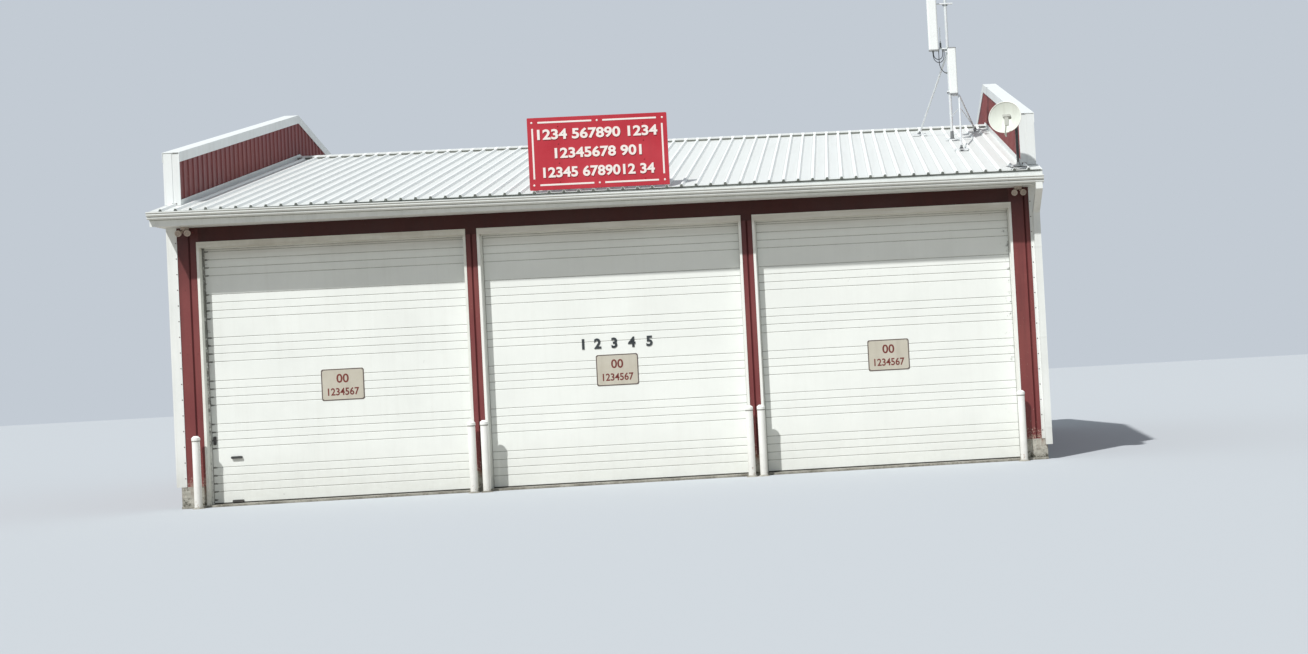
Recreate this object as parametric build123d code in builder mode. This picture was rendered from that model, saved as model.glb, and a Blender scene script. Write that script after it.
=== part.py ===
from build123d import *
import os
from math import atan, cos, radians, sin, tan

# A three-bay fire station building: a metal-clad box with a low gable roof between raised end walls,
# three closed sectional doors in front, a sign, an antenna mast and a dish on the roof.
# Millimetres. X runs along the front, +Y towards the back, +Z up.
# The origin is at ground level in the middle of the plan, straight below the ridge.

# Doors and front wall
DOOR_WIDTH = 3658
SECTION_HEIGHT = 609.6
SECTIONS = 6
DOOR_THICKNESS = 44
DOOR_SIDE_LAP = 30
GROOVES_PER_SECTION = 4
GROOVE_PITCH = 113.6
FIRST_GROOVE = 174
GROOVE_SIZE = 11.5
DOOR_TOP_LAP = 50
COLUMN_FACE = 158
JAMB_LEG = 35
HEAD_LEG = 86
CORNER_FACE = 261
CORNER_TRIM_LEG = 144
TRIM_SHEET = 6
WALL_THICKNESS = 150
GROOVE_IN_SIDING = 22
SIDING_GROOVE_LEFT = 100
SIDING_GROOVE_RIGHT = 190

# Plan, floor and stem walls
HALF_DEPTH = 5248
SLAB_TOP = 30
SLAB_LIP = 20
STEM_TOP = 300
STEM_THICKNESS = 200
STEM_INSET = 34

# End walls, which stand above the roof
PARAPET_THICKNESS = 227
PARAPET_RISE = 752
SIDING_PAN = 5
SIDING_RIB = 20
SIDING_PITCH = 182.9
SIDING_RIB_BASE = 78
LINING_RIB = 15
COPING_LEG = 140
COPING_NOSE = 28
CAP_THICKNESS = 20
CAP_STEP = 6
CAP_OUTER_LEG = 120
CAP_RETURN = 40
FLASHING_HEIGHT = 48

# Roof and eaves; the roof's height is that of its pans above the front wall's face
SOFFIT_ABOVE_DOOR = 292
ROOF_ABOVE_SOFFIT = 323
SLOPE = 0.25
EAVE_OVERHANG = 525
ROOF_RIB_PITCH = 203.2
FIRST_RIB = 160
RIB_CLEARANCE = 2
ROOF_RIB_BASE = 62
ROOF_RIB_HEIGHT = 30
ROOF_PAN = 6
DECK_DEPTH = 150
RIDGE_GAP = 25
RIDGE_CAP_LEG = 170
RIDGE_CAP_SHEET = 4
RIDGE_CAP_LIP = 16
SOFFIT_SHEET = 12
FASCIA_LIP = 15
FASCIA_THICKNESS = 20
FASCIA_SETBACK = 20
EAVE_END_REACH = 17
EAVE_END_BOARD = 22
GUTTER_OVERRUN = 3
GUTTER_DROP = 14
GUTTER_FALL = 77
GUTTER_FLOOR = 68
GUTTER_FRONT = ((80, 84), (80, 62), (105, 42), (105, 22), (115, 12), (115, 0))
GUTTER_DEPTH = 98
GUTTER_SHEET = 4
GUTTER_CLEARANCE = 0.5

# Downspout
SPOUT_WIDTH = 96
SPOUT_DEPTH = 72
SPOUT_SHEET = 3
SPOUT_OUTLET_DROP = 70
SPOUT_OFFSET_DROP = 290
SPOUT_END = 215

# Sign
SIGN_WIDTH = 1930
SIGN_HEIGHT = 1010
SIGN_THICKNESS = 25
SIGN_CENTRE_X = -25
SIGN_LIFT = 38
SIGN_FEET = (-547, 627)
SIGN_POST = 40

# Antenna mast, welded to its tripod; feet from the mast's foot, heights above the roof at the mast
MAST_INSET = 955
MAST_SETBACK = 3342
MAST_DIAMETER = 48
MAST_HEIGHT = 2780
MAST_FEET = ((33, -1416), (-492, 900), (484, 1202))
MAST_LEG_DIAMETER = 30
MAST_COLLAR_HEIGHT = 750
MAST_REAR_COLLAR_HEIGHT = 1470
MAST_ARM = 150
BRACE_DIAMETER = 16
BRACE_RISE = 500
BRACE_DROP = 110
UPPER_PANEL = (162, 110, 1300)
UPPER_PANEL_OFFSET = -232
UPPER_PANEL_HEIGHT = 1480
LOWER_PANEL = (137, 80, 765)
LOWER_PANEL_OFFSET = 59
LOWER_PANEL_HEIGHT = 758
PANEL_BAR_DIAMETER = 26
BAR_WELD = 3
UPPER_BARS = ((2262, 120), (1520, 40))
LOWER_BARS = (1472, 812)
WHIP_OFFSET = -114
WHIP_BASE = (30, 95)
WHIP_ROD = (14, 250)

# Jumper cables under the upper panel: points from the mast's axis at roof level, the crossbars'
# own line being zero in the second number
CABLE_DIAMETER = 12
CABLE_SIDES = 8
ARC_SHARE = 0.45
CABLE_ROUTES = (
    ((-250, -88, 1479.7), (-250, -88, 1410), (-238, -80, 1338), (-192, -62, 1290), (-134, -42, 1286),
     (-84, -20, 1324), (-64, -5, 1394), (-60, -1, 1454), (-60, 0, 1506.7)),
    ((-240, -48, 1479.7), (-240, -48, 1428), (-228, -45, 1377), (-190, -37, 1344), (-139, -26, 1342),
     (-98, -13, 1374), (-86, -5, 1424), (-84, -1, 1465), (-84, 0, 1506.7)),
    ((-148, 0, 1506.7), (-148, 5, 1415), (-150, 10, 1320), (-140, 14, 1230), (-106, 20, 1165),
     (-62, 28, 1132), (-26.4, 34, 1124)),
)

# Plates under whatever stands on the roof ribs
FOOT_PLATE_WIDTH = 240
FOOT_PLATE_THICKNESS = 8

# Dish on a pole near the right end of the front eave; its centre is given from the pole's head
DISH_DIAMETER = 470
DISH_SAG = 62
DISH_SHEET = 5
DISH_STEPS = (0, 0.3, 0.55, 0.8, 1)
DISH_OFFSET = (-166, -110, -27)
DISH_FACING = (-0.26, -0.94, 0.22)
DISH_POLE_INSET = 313
DISH_POLE_REACH = 450
DISH_POLE_DIAMETER = 42
DISH_POLE_HEIGHT = 760
FEED_OFFSET = (70, -86, 240)
FEED_DIAMETER = 46
FEED_LENGTH = 80
FEED_ARM = 20
DISH_BOSS = 90
DISH_BOSS_LENGTH = 34
DISH_ARM_DIAMETER = 30

# Floodlights
LIGHT_INSET = 300
LIGHT_BASE = 110
LIGHT_DROP = 80
HEAD_SPACING = 92
HEAD_DIAMETER = 88
HEAD_LENGTH = 95

# Bollards: places from the middle of each column or from the outer jamb trims
BOLLARD_DIAMETER = 104
BOLLARD_HEIGHT = 1010
BOLLARD_CAP_DIAMETER = 114
BOLLARD_CAP_HEIGHT = 62
BOLLARD_DOME = 26
BOLLARDS_AT_COLUMNS = ((-87, 90), (-88, 78))
BOLLARD_LEFT = 63
BOLLARD_RIGHT = -23
BOLLARD_STANDOFF = 150

# Hardware on the left door: place from the opening's left side, height above the floor,
# length, depth and how far it stands out
HARDWARE = ((347, 644, 150, 34, 32), (344, 32, 150, 34, 32), (53, 892, 40, 120, 18))

# Sizes that follow from those above
DOOR_HEIGHT = SECTIONS * SECTION_HEIGHT
OPENING_TOP = SLAB_TOP + DOOR_HEIGHT - DOOR_TOP_LAP
BAY_PITCH = DOOR_WIDTH + COLUMN_FACE + 2 * JAMB_LEG
DOOR_PLACES = (-BAY_PITCH, 0, BAY_PITCH)
OUTER_X = BAY_PITCH + DOOR_WIDTH / 2 + JAMB_LEG + CORNER_FACE + CORNER_TRIM_LEG
SIDING_CREST_X = OUTER_X - TRIM_SHEET
SIDING_DEPTH = SIDING_PAN + SIDING_RIB
CORE_OUTER_X = SIDING_CREST_X - SIDING_DEPTH
LINING_X = OUTER_X - PARAPET_THICKNESS
CORE_INNER_X = LINING_X + SIDING_PAN + LINING_RIB
FRONT_Y = -HALF_DEPTH
INNER_Y = FRONT_Y + WALL_THICKNESS
ROUGH_HALF = DOOR_WIDTH / 2 + TRIM_SHEET
ROUGH_TOP = OPENING_TOP + TRIM_SHEET
COLUMN_WIDTH = BAY_PITCH - 2 * ROUGH_HALF
CORNER_INNER_X = BAY_PITCH + ROUGH_HALF
STEM_OUTER_X = CORE_OUTER_X - STEM_INSET
STEM_INNER_X = STEM_OUTER_X - STEM_THICKNESS
STEM_REAR_Y = HALF_DEPTH - SIDING_DEPTH - STEM_INSET
EAVE_Y = FRONT_Y - EAVE_OVERHANG
FASCIA_Y = EAVE_Y + FASCIA_SETBACK
EAVE_BOX_Y = FASCIA_Y + FASCIA_THICKNESS
ROOF_HALF_WIDTH = OUTER_X + EAVE_END_REACH
SOFFIT_Z = OPENING_TOP + SOFFIT_ABOVE_DOOR
FASCIA_BOTTOM = SOFFIT_Z - FASCIA_LIP
RIDGE_Z = SOFFIT_Z + ROOF_ABOVE_SOFFIT + SLOPE * HALF_DEPTH
GUTTER_HALF_LENGTH = ROOF_HALF_WIDTH + GUTTER_OVERRUN
PITCH_ANGLE = atan(SLOPE)
DOWN_SLOPE = (0, -cos(PITCH_ANGLE), -sin(PITCH_ANGLE))


def roof_z(y, above=0):
    """Height of the roof pans over a place y, plus a vertical distance above them."""
    return RIDGE_Z - SLOPE * abs(y) + above


DECK_TOP = -ROOF_PAN / cos(PITCH_ANGLE)
DECK_UNDER = DECK_TOP - DECK_DEPTH
RIB_TOP = ROOF_RIB_HEIGHT / cos(PITCH_ANGLE)
GUTTER_TOP = roof_z(EAVE_Y, -GUTTER_DROP)


def gable_band(reach, low, high):
    """Outline of a band that follows both slopes, between two heights above the pans."""
    return [
        (-reach, roof_z(reach, low)), (0, roof_z(0, low)), (reach, roof_z(reach, low)),
        (reach, roof_z(reach, high)), (0, roof_z(0, high)), (-reach, roof_z(reach, high)),
    ]


def slab(x_low, x_high, outline):
    """A plain solid with an outline in Y and Z, between two places along X."""
    with BuildPart() as piece:
        with BuildSketch(Plane.YZ.offset(x_low)):
            with BuildLine():
                Polyline(*outline, close=True)
            make_face()
        extrude(amount=x_high - x_low)
    return piece.part


def box(x_low, x_high, y_low, y_high, z_low, z_high):
    """A plain rectangular solid between its low and high sides."""
    with BuildPart() as piece:
        with BuildSketch(Plane.XY.offset(z_low)):
            with Locations(((x_low + x_high) / 2, (y_low + y_high) / 2)):
                Rectangle(x_high - x_low, y_high - y_low)
        extrude(amount=z_high - z_low)
    return piece.part


def rod(start, end, diameter):
    """A round bar from one point to another."""
    run = Vector(end) - Vector(start)
    with BuildPart() as piece:
        with BuildSketch(Plane(origin=start, z_dir=run.normalized())):
            Circle(diameter / 2)
        extrude(amount=run.length)
    return piece.part


def cable(route, diameter):
    """A cable along its route: straight runs joined by tangent arcs as wide as the shorter run allows."""
    points = [Vector(*point) for point in route]
    radii = []
    with BuildPart() as tube:
        with BuildLine() as path:
            last = points[0]
            for before, corner, after in zip(points, points[1:], points[2:]):
                reach = ARC_SHARE * min((corner - before).length, (after - corner).length)
                start = corner - (corner - before).normalized() * reach
                end = corner + (after - corner).normalized() * reach
                Line(last, start)
                TangentArc(start, end, tangent=corner - before)
                radii.append(reach / tan(radians((corner - before).get_angle(after - corner) / 2)))
                last = end
            Line(last, points[-1])
        with BuildSketch(Plane(origin=points[0], z_dir=points[1] - points[0])):
            RegularPolygon(diameter / 2, CABLE_SIDES)
        sweep(path=path.wires()[0])
    print("cable", round(path.wires()[0].length), "mm, radii", [round(radius) for radius in radii])
    return tube.part


def on_leg(foot, head, z):
    """The point of a slanting bar at a given height."""
    return foot + (head - foot) * ((z - foot.Z) / (head.Z - foot.Z))


def foot_plate(x, y, width, length):
    """A flat plate that lies across the tops of the roof ribs."""
    low, high = y - length / 2, y + length / 2
    top = RIB_TOP + FOOT_PLATE_THICKNESS
    return slab(x - width / 2, x + width / 2, [
        (low, roof_z(low, RIB_TOP)), (high, roof_z(high, RIB_TOP)), (high, roof_z(high, top)), (low, roof_z(low, top)),
    ])


def rib_places(first, pitch, low, high):
    """Rib centres at an even pitch that lie wholly between two edges."""
    count = int((high - first) / pitch) + 1
    places = [first + pitch * i for i in range(count)]
    return [place for place in places if low < place < high]


# Floor and stem walls

with BuildPart() as floor_slab:
    with BuildSketch():
        with Locations((0, (FRONT_Y - SLAB_LIP + STEM_REAR_Y) / 2)):
            Rectangle(2 * STEM_OUTER_X, STEM_REAR_Y - FRONT_Y + SLAB_LIP)
    extrude(amount=SLAB_TOP)

with BuildPart() as stem_wall_right:
    add(box(STEM_INNER_X, STEM_OUTER_X, INNER_Y, STEM_REAR_Y - STEM_THICKNESS, SLAB_TOP, STEM_TOP))

with BuildPart() as stem_wall_left:
    mirror(stem_wall_right.part, about=Plane.YZ)

with BuildPart() as stem_wall_rear:
    add(box(-STEM_OUTER_X, STEM_OUTER_X, STEM_REAR_Y - STEM_THICKNESS, STEM_REAR_Y, SLAB_TOP, STEM_TOP))

with BuildPart() as stem_piers_front:
    with BuildSketch(Plane.XY.offset(SLAB_TOP)):
        with Locations((-BAY_PITCH / 2, FRONT_Y + WALL_THICKNESS / 2), (BAY_PITCH / 2, FRONT_Y + WALL_THICKNESS / 2)):
            Rectangle(COLUMN_WIDTH, WALL_THICKNESS)
        corner = (CORNER_INNER_X + STEM_OUTER_X) / 2
        with Locations((-corner, FRONT_Y + WALL_THICKNESS / 2), (corner, FRONT_Y + WALL_THICKNESS / 2)):
            Rectangle(STEM_OUTER_X - CORNER_INNER_X, WALL_THICKNESS)
    extrude(amount=STEM_TOP - SLAB_TOP)

# Front wall: columns, corner panels and the header over the doors

with BuildPart() as door_columns:
    with BuildSketch(Plane.XY.offset(STEM_TOP)):
        with Locations((-BAY_PITCH / 2, FRONT_Y), (BAY_PITCH / 2, FRONT_Y)):
            Rectangle(COLUMN_WIDTH, WALL_THICKNESS, align=(Align.CENTER, Align.MIN))
            Rectangle(GROOVE_IN_SIDING, GROOVE_IN_SIDING, rotation=45, mode=Mode.SUBTRACT)
    extrude(amount=ROUGH_TOP - STEM_TOP)

with BuildPart() as corner_panels:
    panel_width = CORE_OUTER_X - CORNER_INNER_X
    panel_x = CORNER_INNER_X + panel_width / 2
    jamb_edge = CORNER_INNER_X - TRIM_SHEET + JAMB_LEG
    with BuildSketch(Plane.XY.offset(STEM_TOP)):
        with Locations((-panel_x, FRONT_Y), (panel_x, FRONT_Y)):
            Rectangle(panel_width, WALL_THICKNESS, align=(Align.CENTER, Align.MIN))
        with Locations((-jamb_edge - SIDING_GROOVE_LEFT, FRONT_Y), (jamb_edge + SIDING_GROOVE_RIGHT, FRONT_Y)):
            Rectangle(GROOVE_IN_SIDING, GROOVE_IN_SIDING, rotation=45, mode=Mode.SUBTRACT)
    extrude(amount=SOFFIT_Z - STEM_TOP)

with BuildPart() as front_header:
    add(box(-CORNER_INNER_X, CORNER_INNER_X, FRONT_Y, INNER_Y, ROUGH_TOP, SOFFIT_Z))
    add(slab(-CORE_INNER_X, CORE_INNER_X, [
        (FRONT_Y, SOFFIT_Z), (INNER_Y, SOFFIT_Z), (INNER_Y, roof_z(INNER_Y, DECK_UNDER)),
        (FRONT_Y, roof_z(FRONT_Y, DECK_UNDER)),
    ]))

# Sectional doors and the white trim round their openings


rib_edge = ROOF_HALF_WIDTH - ROOF_RIB_BASE / 2
roof_rib_places = rib_places(FIRST_RIB - ROOF_HALF_WIDTH, ROOF_RIB_PITCH, -rib_edge, rib_edge)


def sectional_door(x):
    """A closed door of stacked sections, with its grooves pressed into the outer face."""
    groove_heights = [
        section * SECTION_HEIGHT + FIRST_GROOVE + GROOVE_PITCH * groove
        for section in range(SECTIONS) for groove in range(GROOVES_PER_SECTION)
    ]
    width = DOOR_WIDTH + 2 * DOOR_SIDE_LAP
    with BuildPart() as door:
        with BuildSketch(Plane.YZ.offset(x - width / 2)):
            with Locations((INNER_Y, SLAB_TOP)):
                Rectangle(DOOR_THICKNESS, DOOR_HEIGHT, align=(Align.MIN, Align.MIN))
            with Locations(*[(INNER_Y, SLAB_TOP + height) for height in groove_heights]):
                Rectangle(GROOVE_SIZE, GROOVE_SIZE, rotation=45, mode=Mode.SUBTRACT)
        extrude(amount=width)
    return door.part


def door_trim(x):
    """Bent sheet round an opening: a leg on the wall's face and a return through the wall."""
    face_plane = Plane(origin=(x, FRONT_Y, SLAB_TOP), x_dir=(1, 0, 0), z_dir=(0, -1, 0))
    opening_height = OPENING_TOP - SLAB_TOP
    with BuildPart() as trim:
        with BuildSketch(face_plane):
            Rectangle(DOOR_WIDTH + 2 * JAMB_LEG, opening_height + HEAD_LEG, align=(Align.CENTER, Align.MIN))
            Rectangle(DOOR_WIDTH, opening_height, align=(Align.CENTER, Align.MIN), mode=Mode.SUBTRACT)
        extrude(amount=TRIM_SHEET)
        with BuildSketch(face_plane):
            Rectangle(2 * ROUGH_HALF, opening_height + TRIM_SHEET, align=(Align.CENTER, Align.MIN))
            Rectangle(DOOR_WIDTH, opening_height, align=(Align.CENTER, Align.MIN), mode=Mode.SUBTRACT)
        extrude(amount=-WALL_THICKNESS)
    return trim.part


# End walls with their ribbed siding, lining, caps and coping


def end_wall():
    """Right end wall: from the stem wall up through the roof to the coping."""
    rear_y = HALF_DEPTH - SIDING_DEPTH
    top = PARAPET_RISE - TRIM_SHEET
    return slab(CORE_INNER_X, CORE_OUTER_X, [
        (INNER_Y, STEM_TOP), (rear_y, STEM_TOP), (rear_y, roof_z(rear_y, top)), (0, roof_z(0, top)),
        (FRONT_Y, roof_z(FRONT_Y, top)), (FRONT_Y, SOFFIT_Z), (INNER_Y, SOFFIT_Z),
    ])


def upright_ribs(low, high, rib_height):
    """Plan of a ribbed sheet in the active sketch: pan on the low side of the local y axis."""
    with Locations(((low + high) / 2, 0)):
        Rectangle(high - low, SIDING_PAN, align=(Align.CENTER, Align.MAX))
    margin = SIDING_RIB_BASE
    places = rib_places(low + margin, SIDING_PITCH, low, high - margin)
    with Locations(*[(place, 0) for place in places]):
        Trapezoid(SIDING_RIB_BASE, rib_height, 55, align=(Align.CENTER, Align.MIN))


def end_siding():
    """Upright ribbed sheet on the outer face of the right end wall, cut to the gable."""
    plan = Plane(origin=(CORE_OUTER_X + SIDING_PAN, 0, STEM_TOP), x_dir=(0, 1, 0), z_dir=(0, 0, -1))
    with BuildPart() as sheet:
        with BuildSketch(plan):
            upright_ribs(-HALF_DEPTH, HALF_DEPTH - SIDING_DEPTH, SIDING_RIB)
        extrude(amount=STEM_TOP - roof_z(0, PARAPET_RISE))
        outline = [
            (-HALF_DEPTH, STEM_TOP), (HALF_DEPTH, STEM_TOP),
            (HALF_DEPTH, roof_z(HALF_DEPTH, PARAPET_RISE - TRIM_SHEET)), (0, roof_z(0, PARAPET_RISE - TRIM_SHEET)),
            (-HALF_DEPTH, roof_z(HALF_DEPTH, PARAPET_RISE - TRIM_SHEET)),
        ]
        add(slab(CORE_OUTER_X, SIDING_CREST_X, outline), mode=Mode.INTERSECT)
    return sheet.part


def parapet_lining():
    """Ribbed sheet on the inner face of the right parapet, above the roof."""
    plan = Plane(origin=(CORE_INNER_X - SIDING_PAN, 0, RIDGE_Z + PARAPET_RISE), x_dir=(0, -1, 0), z_dir=(0, 0, -1))
    with BuildPart() as sheet:
        with BuildSketch(plan):
            upright_ribs(-HALF_DEPTH, HALF_DEPTH, LINING_RIB)
        extrude(amount=RIDGE_Z + PARAPET_RISE)
        outline = gable_band(HALF_DEPTH, RIB_TOP, PARAPET_RISE - TRIM_SHEET)
        add(slab(LINING_X, CORE_INNER_X, outline), mode=Mode.INTERSECT)
    return sheet.part


def coping():
    """White folded capping of the right parapet: a top sheet with a leg down each side."""
    reach = HALF_DEPTH + COPING_NOSE
    inner_x = LINING_X - TRIM_SHEET
    top = gable_band(reach, PARAPET_RISE - TRIM_SHEET, PARAPET_RISE)
    leg = gable_band(reach, PARAPET_RISE - COPING_LEG, PARAPET_RISE)
    with BuildPart() as capping:
        add(slab(inner_x, OUTER_X, top))
        add(slab(inner_x, LINING_X, leg))
        add(slab(SIDING_CREST_X, OUTER_X, leg))
    return capping.part


with BuildPart() as parapet_caps:
    cap_y = FRONT_Y - CAP_THICKNESS
    cap_top = roof_z(cap_y, PARAPET_RISE - TRIM_SHEET)
    cap_foot = roof_z(FRONT_Y)
    seam_x = SIDING_CREST_X - CAP_OUTER_LEG
    add(box(seam_x, SIDING_CREST_X, cap_y, FRONT_Y, cap_foot, cap_top))
    add(box(LINING_X, seam_x, cap_y + CAP_STEP, FRONT_Y, cap_foot, cap_top))
    mirror(about=Plane.YZ)
    half_slot = ROOF_RIB_BASE / 2 + RIB_CLEARANCE
    for x in roof_rib_places:
        if abs(x) > LINING_X - half_slot:
            add(box(x - half_slot, x + half_slot, cap_y, FRONT_Y, cap_foot, roof_z(FRONT_Y, RIB_TOP)), mode=Mode.SUBTRACT)
    mirror(about=Plane.XZ)

with BuildPart() as corner_trims:
    with BuildSketch(Plane.XY.offset(STEM_TOP)):
        with Locations((OUTER_X, FRONT_Y - TRIM_SHEET)):
            Rectangle(CORNER_TRIM_LEG, TRIM_SHEET, align=(Align.MAX, Align.MIN))
            Rectangle(TRIM_SHEET, CORNER_TRIM_LEG, align=(Align.MAX, Align.MIN))
    extrude(amount=SOFFIT_Z - STEM_TOP)
    mirror(about=Plane.YZ)
    mirror(about=Plane.XZ)

with BuildPart() as roof_flashings:
    band = gable_band(HALF_DEPTH, 0, RIB_TOP + FLASHING_HEIGHT)
    add(slab(LINING_X - TRIM_SHEET, LINING_X, band))
    mirror(about=Plane.YZ)

# Rear wall

with BuildPart() as rear_wall:
    wall_y = HALF_DEPTH - WALL_THICKNESS
    back_y = HALF_DEPTH - SIDING_DEPTH
    add(slab(-CORE_INNER_X, CORE_INNER_X, [
        (wall_y, STEM_TOP), (back_y, STEM_TOP), (back_y, roof_z(back_y, DECK_UNDER)),
        (wall_y, roof_z(wall_y, DECK_UNDER)),
    ]))

with BuildPart() as rear_siding:
    with BuildSketch(Plane.XY.offset(STEM_TOP)):
        with Locations((0, HALF_DEPTH - SIDING_RIB)):
            upright_ribs(-CORE_OUTER_X, CORE_OUTER_X, SIDING_RIB)
    extrude(amount=SOFFIT_Z - STEM_TOP)

# Roof

def roof_sheet():
    """Front slope: a ribbed sheet from the ridge to the eave, notched round the parapets."""
    start_y = -RIDGE_GAP
    length = (abs(EAVE_Y) - RIDGE_GAP) / cos(PITCH_ANGLE)
    section = Plane(origin=(0, start_y, roof_z(start_y)), x_dir=(1, 0, 0), z_dir=DOWN_SLOPE)
    with BuildPart() as sheet:
        with BuildSketch(section):
            Rectangle(2 * ROOF_HALF_WIDTH, ROOF_PAN, align=(Align.CENTER, Align.MAX))
            with Locations(*[(x, 0) for x in roof_rib_places]):
                Trapezoid(ROOF_RIB_BASE, ROOF_RIB_HEIGHT, 60, align=(Align.CENTER, Align.MIN))
        extrude(amount=length)
        notch = ROOF_HALF_WIDTH - LINING_X
        with BuildSketch(Plane.XY.offset(STEM_TOP)):
            with Locations((LINING_X, FRONT_Y), (-LINING_X - notch, FRONT_Y)):
                Rectangle(notch, HALF_DEPTH, align=(Align.MIN, Align.MIN))
        extrude(amount=RIDGE_Z, mode=Mode.SUBTRACT)
    return sheet.part


def roof_deck():
    """Front slope: the framed and sheathed deck under the sheet, wider in front of the end walls."""
    with BuildPart() as deck:
        add(slab(-CORE_INNER_X, CORE_INNER_X, [
            (FRONT_Y, roof_z(FRONT_Y, DECK_UNDER)), (0, roof_z(0, DECK_UNDER)),
            (0, roof_z(0, DECK_TOP)), (FRONT_Y, roof_z(FRONT_Y, DECK_TOP)),
        ]))
        half = ROOF_HALF_WIDTH - EAVE_END_BOARD
        add(slab(-half, half, [
            (EAVE_BOX_Y, roof_z(EAVE_BOX_Y, DECK_UNDER)), (FRONT_Y, roof_z(FRONT_Y, DECK_UNDER)),
            (FRONT_Y, roof_z(FRONT_Y, DECK_TOP)), (EAVE_BOX_Y, roof_z(EAVE_BOX_Y, DECK_TOP)),
        ]))
    return deck.part


with BuildPart() as ridge_cap:
    cap_end = LINING_X - TRIM_SHEET
    lip_top = RIB_TOP + RIDGE_CAP_LIP
    add(slab(-cap_end, cap_end, gable_band(RIDGE_CAP_LEG, RIB_TOP, lip_top)))
    add(slab(-cap_end, cap_end, gable_band(RIDGE_CAP_LEG - RIDGE_CAP_SHEET, RIB_TOP, lip_top - RIDGE_CAP_SHEET)),
        mode=Mode.SUBTRACT)

with BuildPart() as soffits:
    half = ROOF_HALF_WIDTH - EAVE_END_BOARD
    add(box(-half, half, EAVE_BOX_Y, FRONT_Y, SOFFIT_Z, SOFFIT_Z + SOFFIT_SHEET))
    mirror(about=Plane.XZ)

with BuildPart() as fascias:
    add(slab(-ROOF_HALF_WIDTH, ROOF_HALF_WIDTH, [
        (FASCIA_Y, FASCIA_BOTTOM), (EAVE_BOX_Y, FASCIA_BOTTOM), (EAVE_BOX_Y, roof_z(EAVE_BOX_Y, DECK_TOP)),
        (FASCIA_Y, roof_z(FASCIA_Y, DECK_TOP)),
    ]))
    mirror(about=Plane.XZ)

with BuildPart() as eave_end_boards:
    add(slab(ROOF_HALF_WIDTH - EAVE_END_BOARD, ROOF_HALF_WIDTH, [
        (EAVE_BOX_Y, SOFFIT_Z), (FRONT_Y, SOFFIT_Z), (FRONT_Y, roof_z(FRONT_Y, DECK_TOP)),
        (EAVE_BOX_Y, roof_z(EAVE_BOX_Y, DECK_TOP)),
    ]))
    mirror(about=Plane.YZ)
    mirror(about=Plane.XZ)


def gutter():
    """Front gutter: a folded channel with a stepped front, closed at both ends, with a slight fall."""
    run = Vector(2 * GUTTER_HALF_LENGTH, 0, -GUTTER_FALL)
    start = Vector(-GUTTER_HALF_LENGTH, FASCIA_Y, GUTTER_TOP)
    front = [(-out, -down) for out, down in GUTTER_FRONT]
    outline = [(0, 0), (0, -GUTTER_DEPTH), (-GUTTER_FLOOR, -GUTTER_DEPTH), *front]
    along = run.normalized()
    with BuildPart() as channel:
        with BuildSketch(Plane(origin=start, x_dir=(0, 1, 0), z_dir=along)):
            with BuildLine():
                Polyline(*outline, close=True)
            make_face()
        extrude(amount=run.length)
        with BuildSketch(Plane(origin=start + along * GUTTER_SHEET, x_dir=(0, 1, 0), z_dir=along)):
            with BuildLine():
                Polyline(*outline, close=True)
            make_face()
            offset(amount=-GUTTER_SHEET, kind=Kind.INTERSECTION, mode=Mode.REPLACE)
            with Locations((-GUTTER_SHEET, -2 * GUTTER_SHEET)):
                mouth = GUTTER_FRONT[-1][0] - 2 * GUTTER_SHEET
                Rectangle(mouth, 4 * GUTTER_SHEET, align=(Align.MAX, Align.MIN))
        extrude(amount=run.length - 2 * GUTTER_SHEET, mode=Mode.SUBTRACT)
    return channel.part


def gutter_floor_z(x):
    """Height of the underside of the gutter at a place along it."""
    return GUTTER_TOP - GUTTER_DEPTH - GUTTER_FALL * (x + GUTTER_HALF_LENGTH) / (2 * GUTTER_HALF_LENGTH)


def downspout():
    """Square pipe from the gutter's low end, back to the wall under the eave and down the corner."""
    x = OUTER_X - SPOUT_WIDTH / 2
    outlet_y = FASCIA_Y - GUTTER_FLOOR / 2 - GUTTER_SHEET
    wall_y = FRONT_Y - TRIM_SHEET - SPOUT_DEPTH / 2
    top = gutter_floor_z(x + SPOUT_WIDTH / 2) - GUTTER_CLEARANCE
    route = [
        (x, outlet_y, top), (x, outlet_y, top - SPOUT_OUTLET_DROP),
        (x, wall_y, top - SPOUT_OUTLET_DROP - SPOUT_OFFSET_DROP), (x, wall_y, SPOUT_END),
    ]
    with BuildPart() as pipe:
        with BuildLine() as path:
            Polyline(*route)
        with BuildSketch(Plane(origin=route[0], x_dir=(1, 0, 0), z_dir=(0, 0, -1))):
            Rectangle(SPOUT_WIDTH, SPOUT_DEPTH)
            offset(amount=-SPOUT_SHEET, kind=Kind.INTERSECTION, mode=Mode.SUBTRACT)
        sweep(path=path.wires()[0], transition=Transition.RIGHT)
    return pipe.part


with BuildPart() as downspouts:
    add(downspout())
    mirror(about=Plane.XZ)

# Sign on its two posts at the roof edge

sign_front_y = EAVE_Y
sign_back_y = sign_front_y + SIGN_THICKNESS
sign_bottom = roof_z(sign_front_y, SIGN_LIFT)

with BuildPart() as sign_board:
    with BuildSketch(Plane(origin=(SIGN_CENTRE_X, sign_front_y, sign_bottom), x_dir=(1, 0, 0), z_dir=(0, -1, 0))):
        RectangleRounded(SIGN_WIDTH, SIGN_HEIGHT, SIGN_THICKNESS / 2, align=(Align.CENTER, Align.MIN))
    extrude(amount=-SIGN_THICKNESS)

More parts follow.
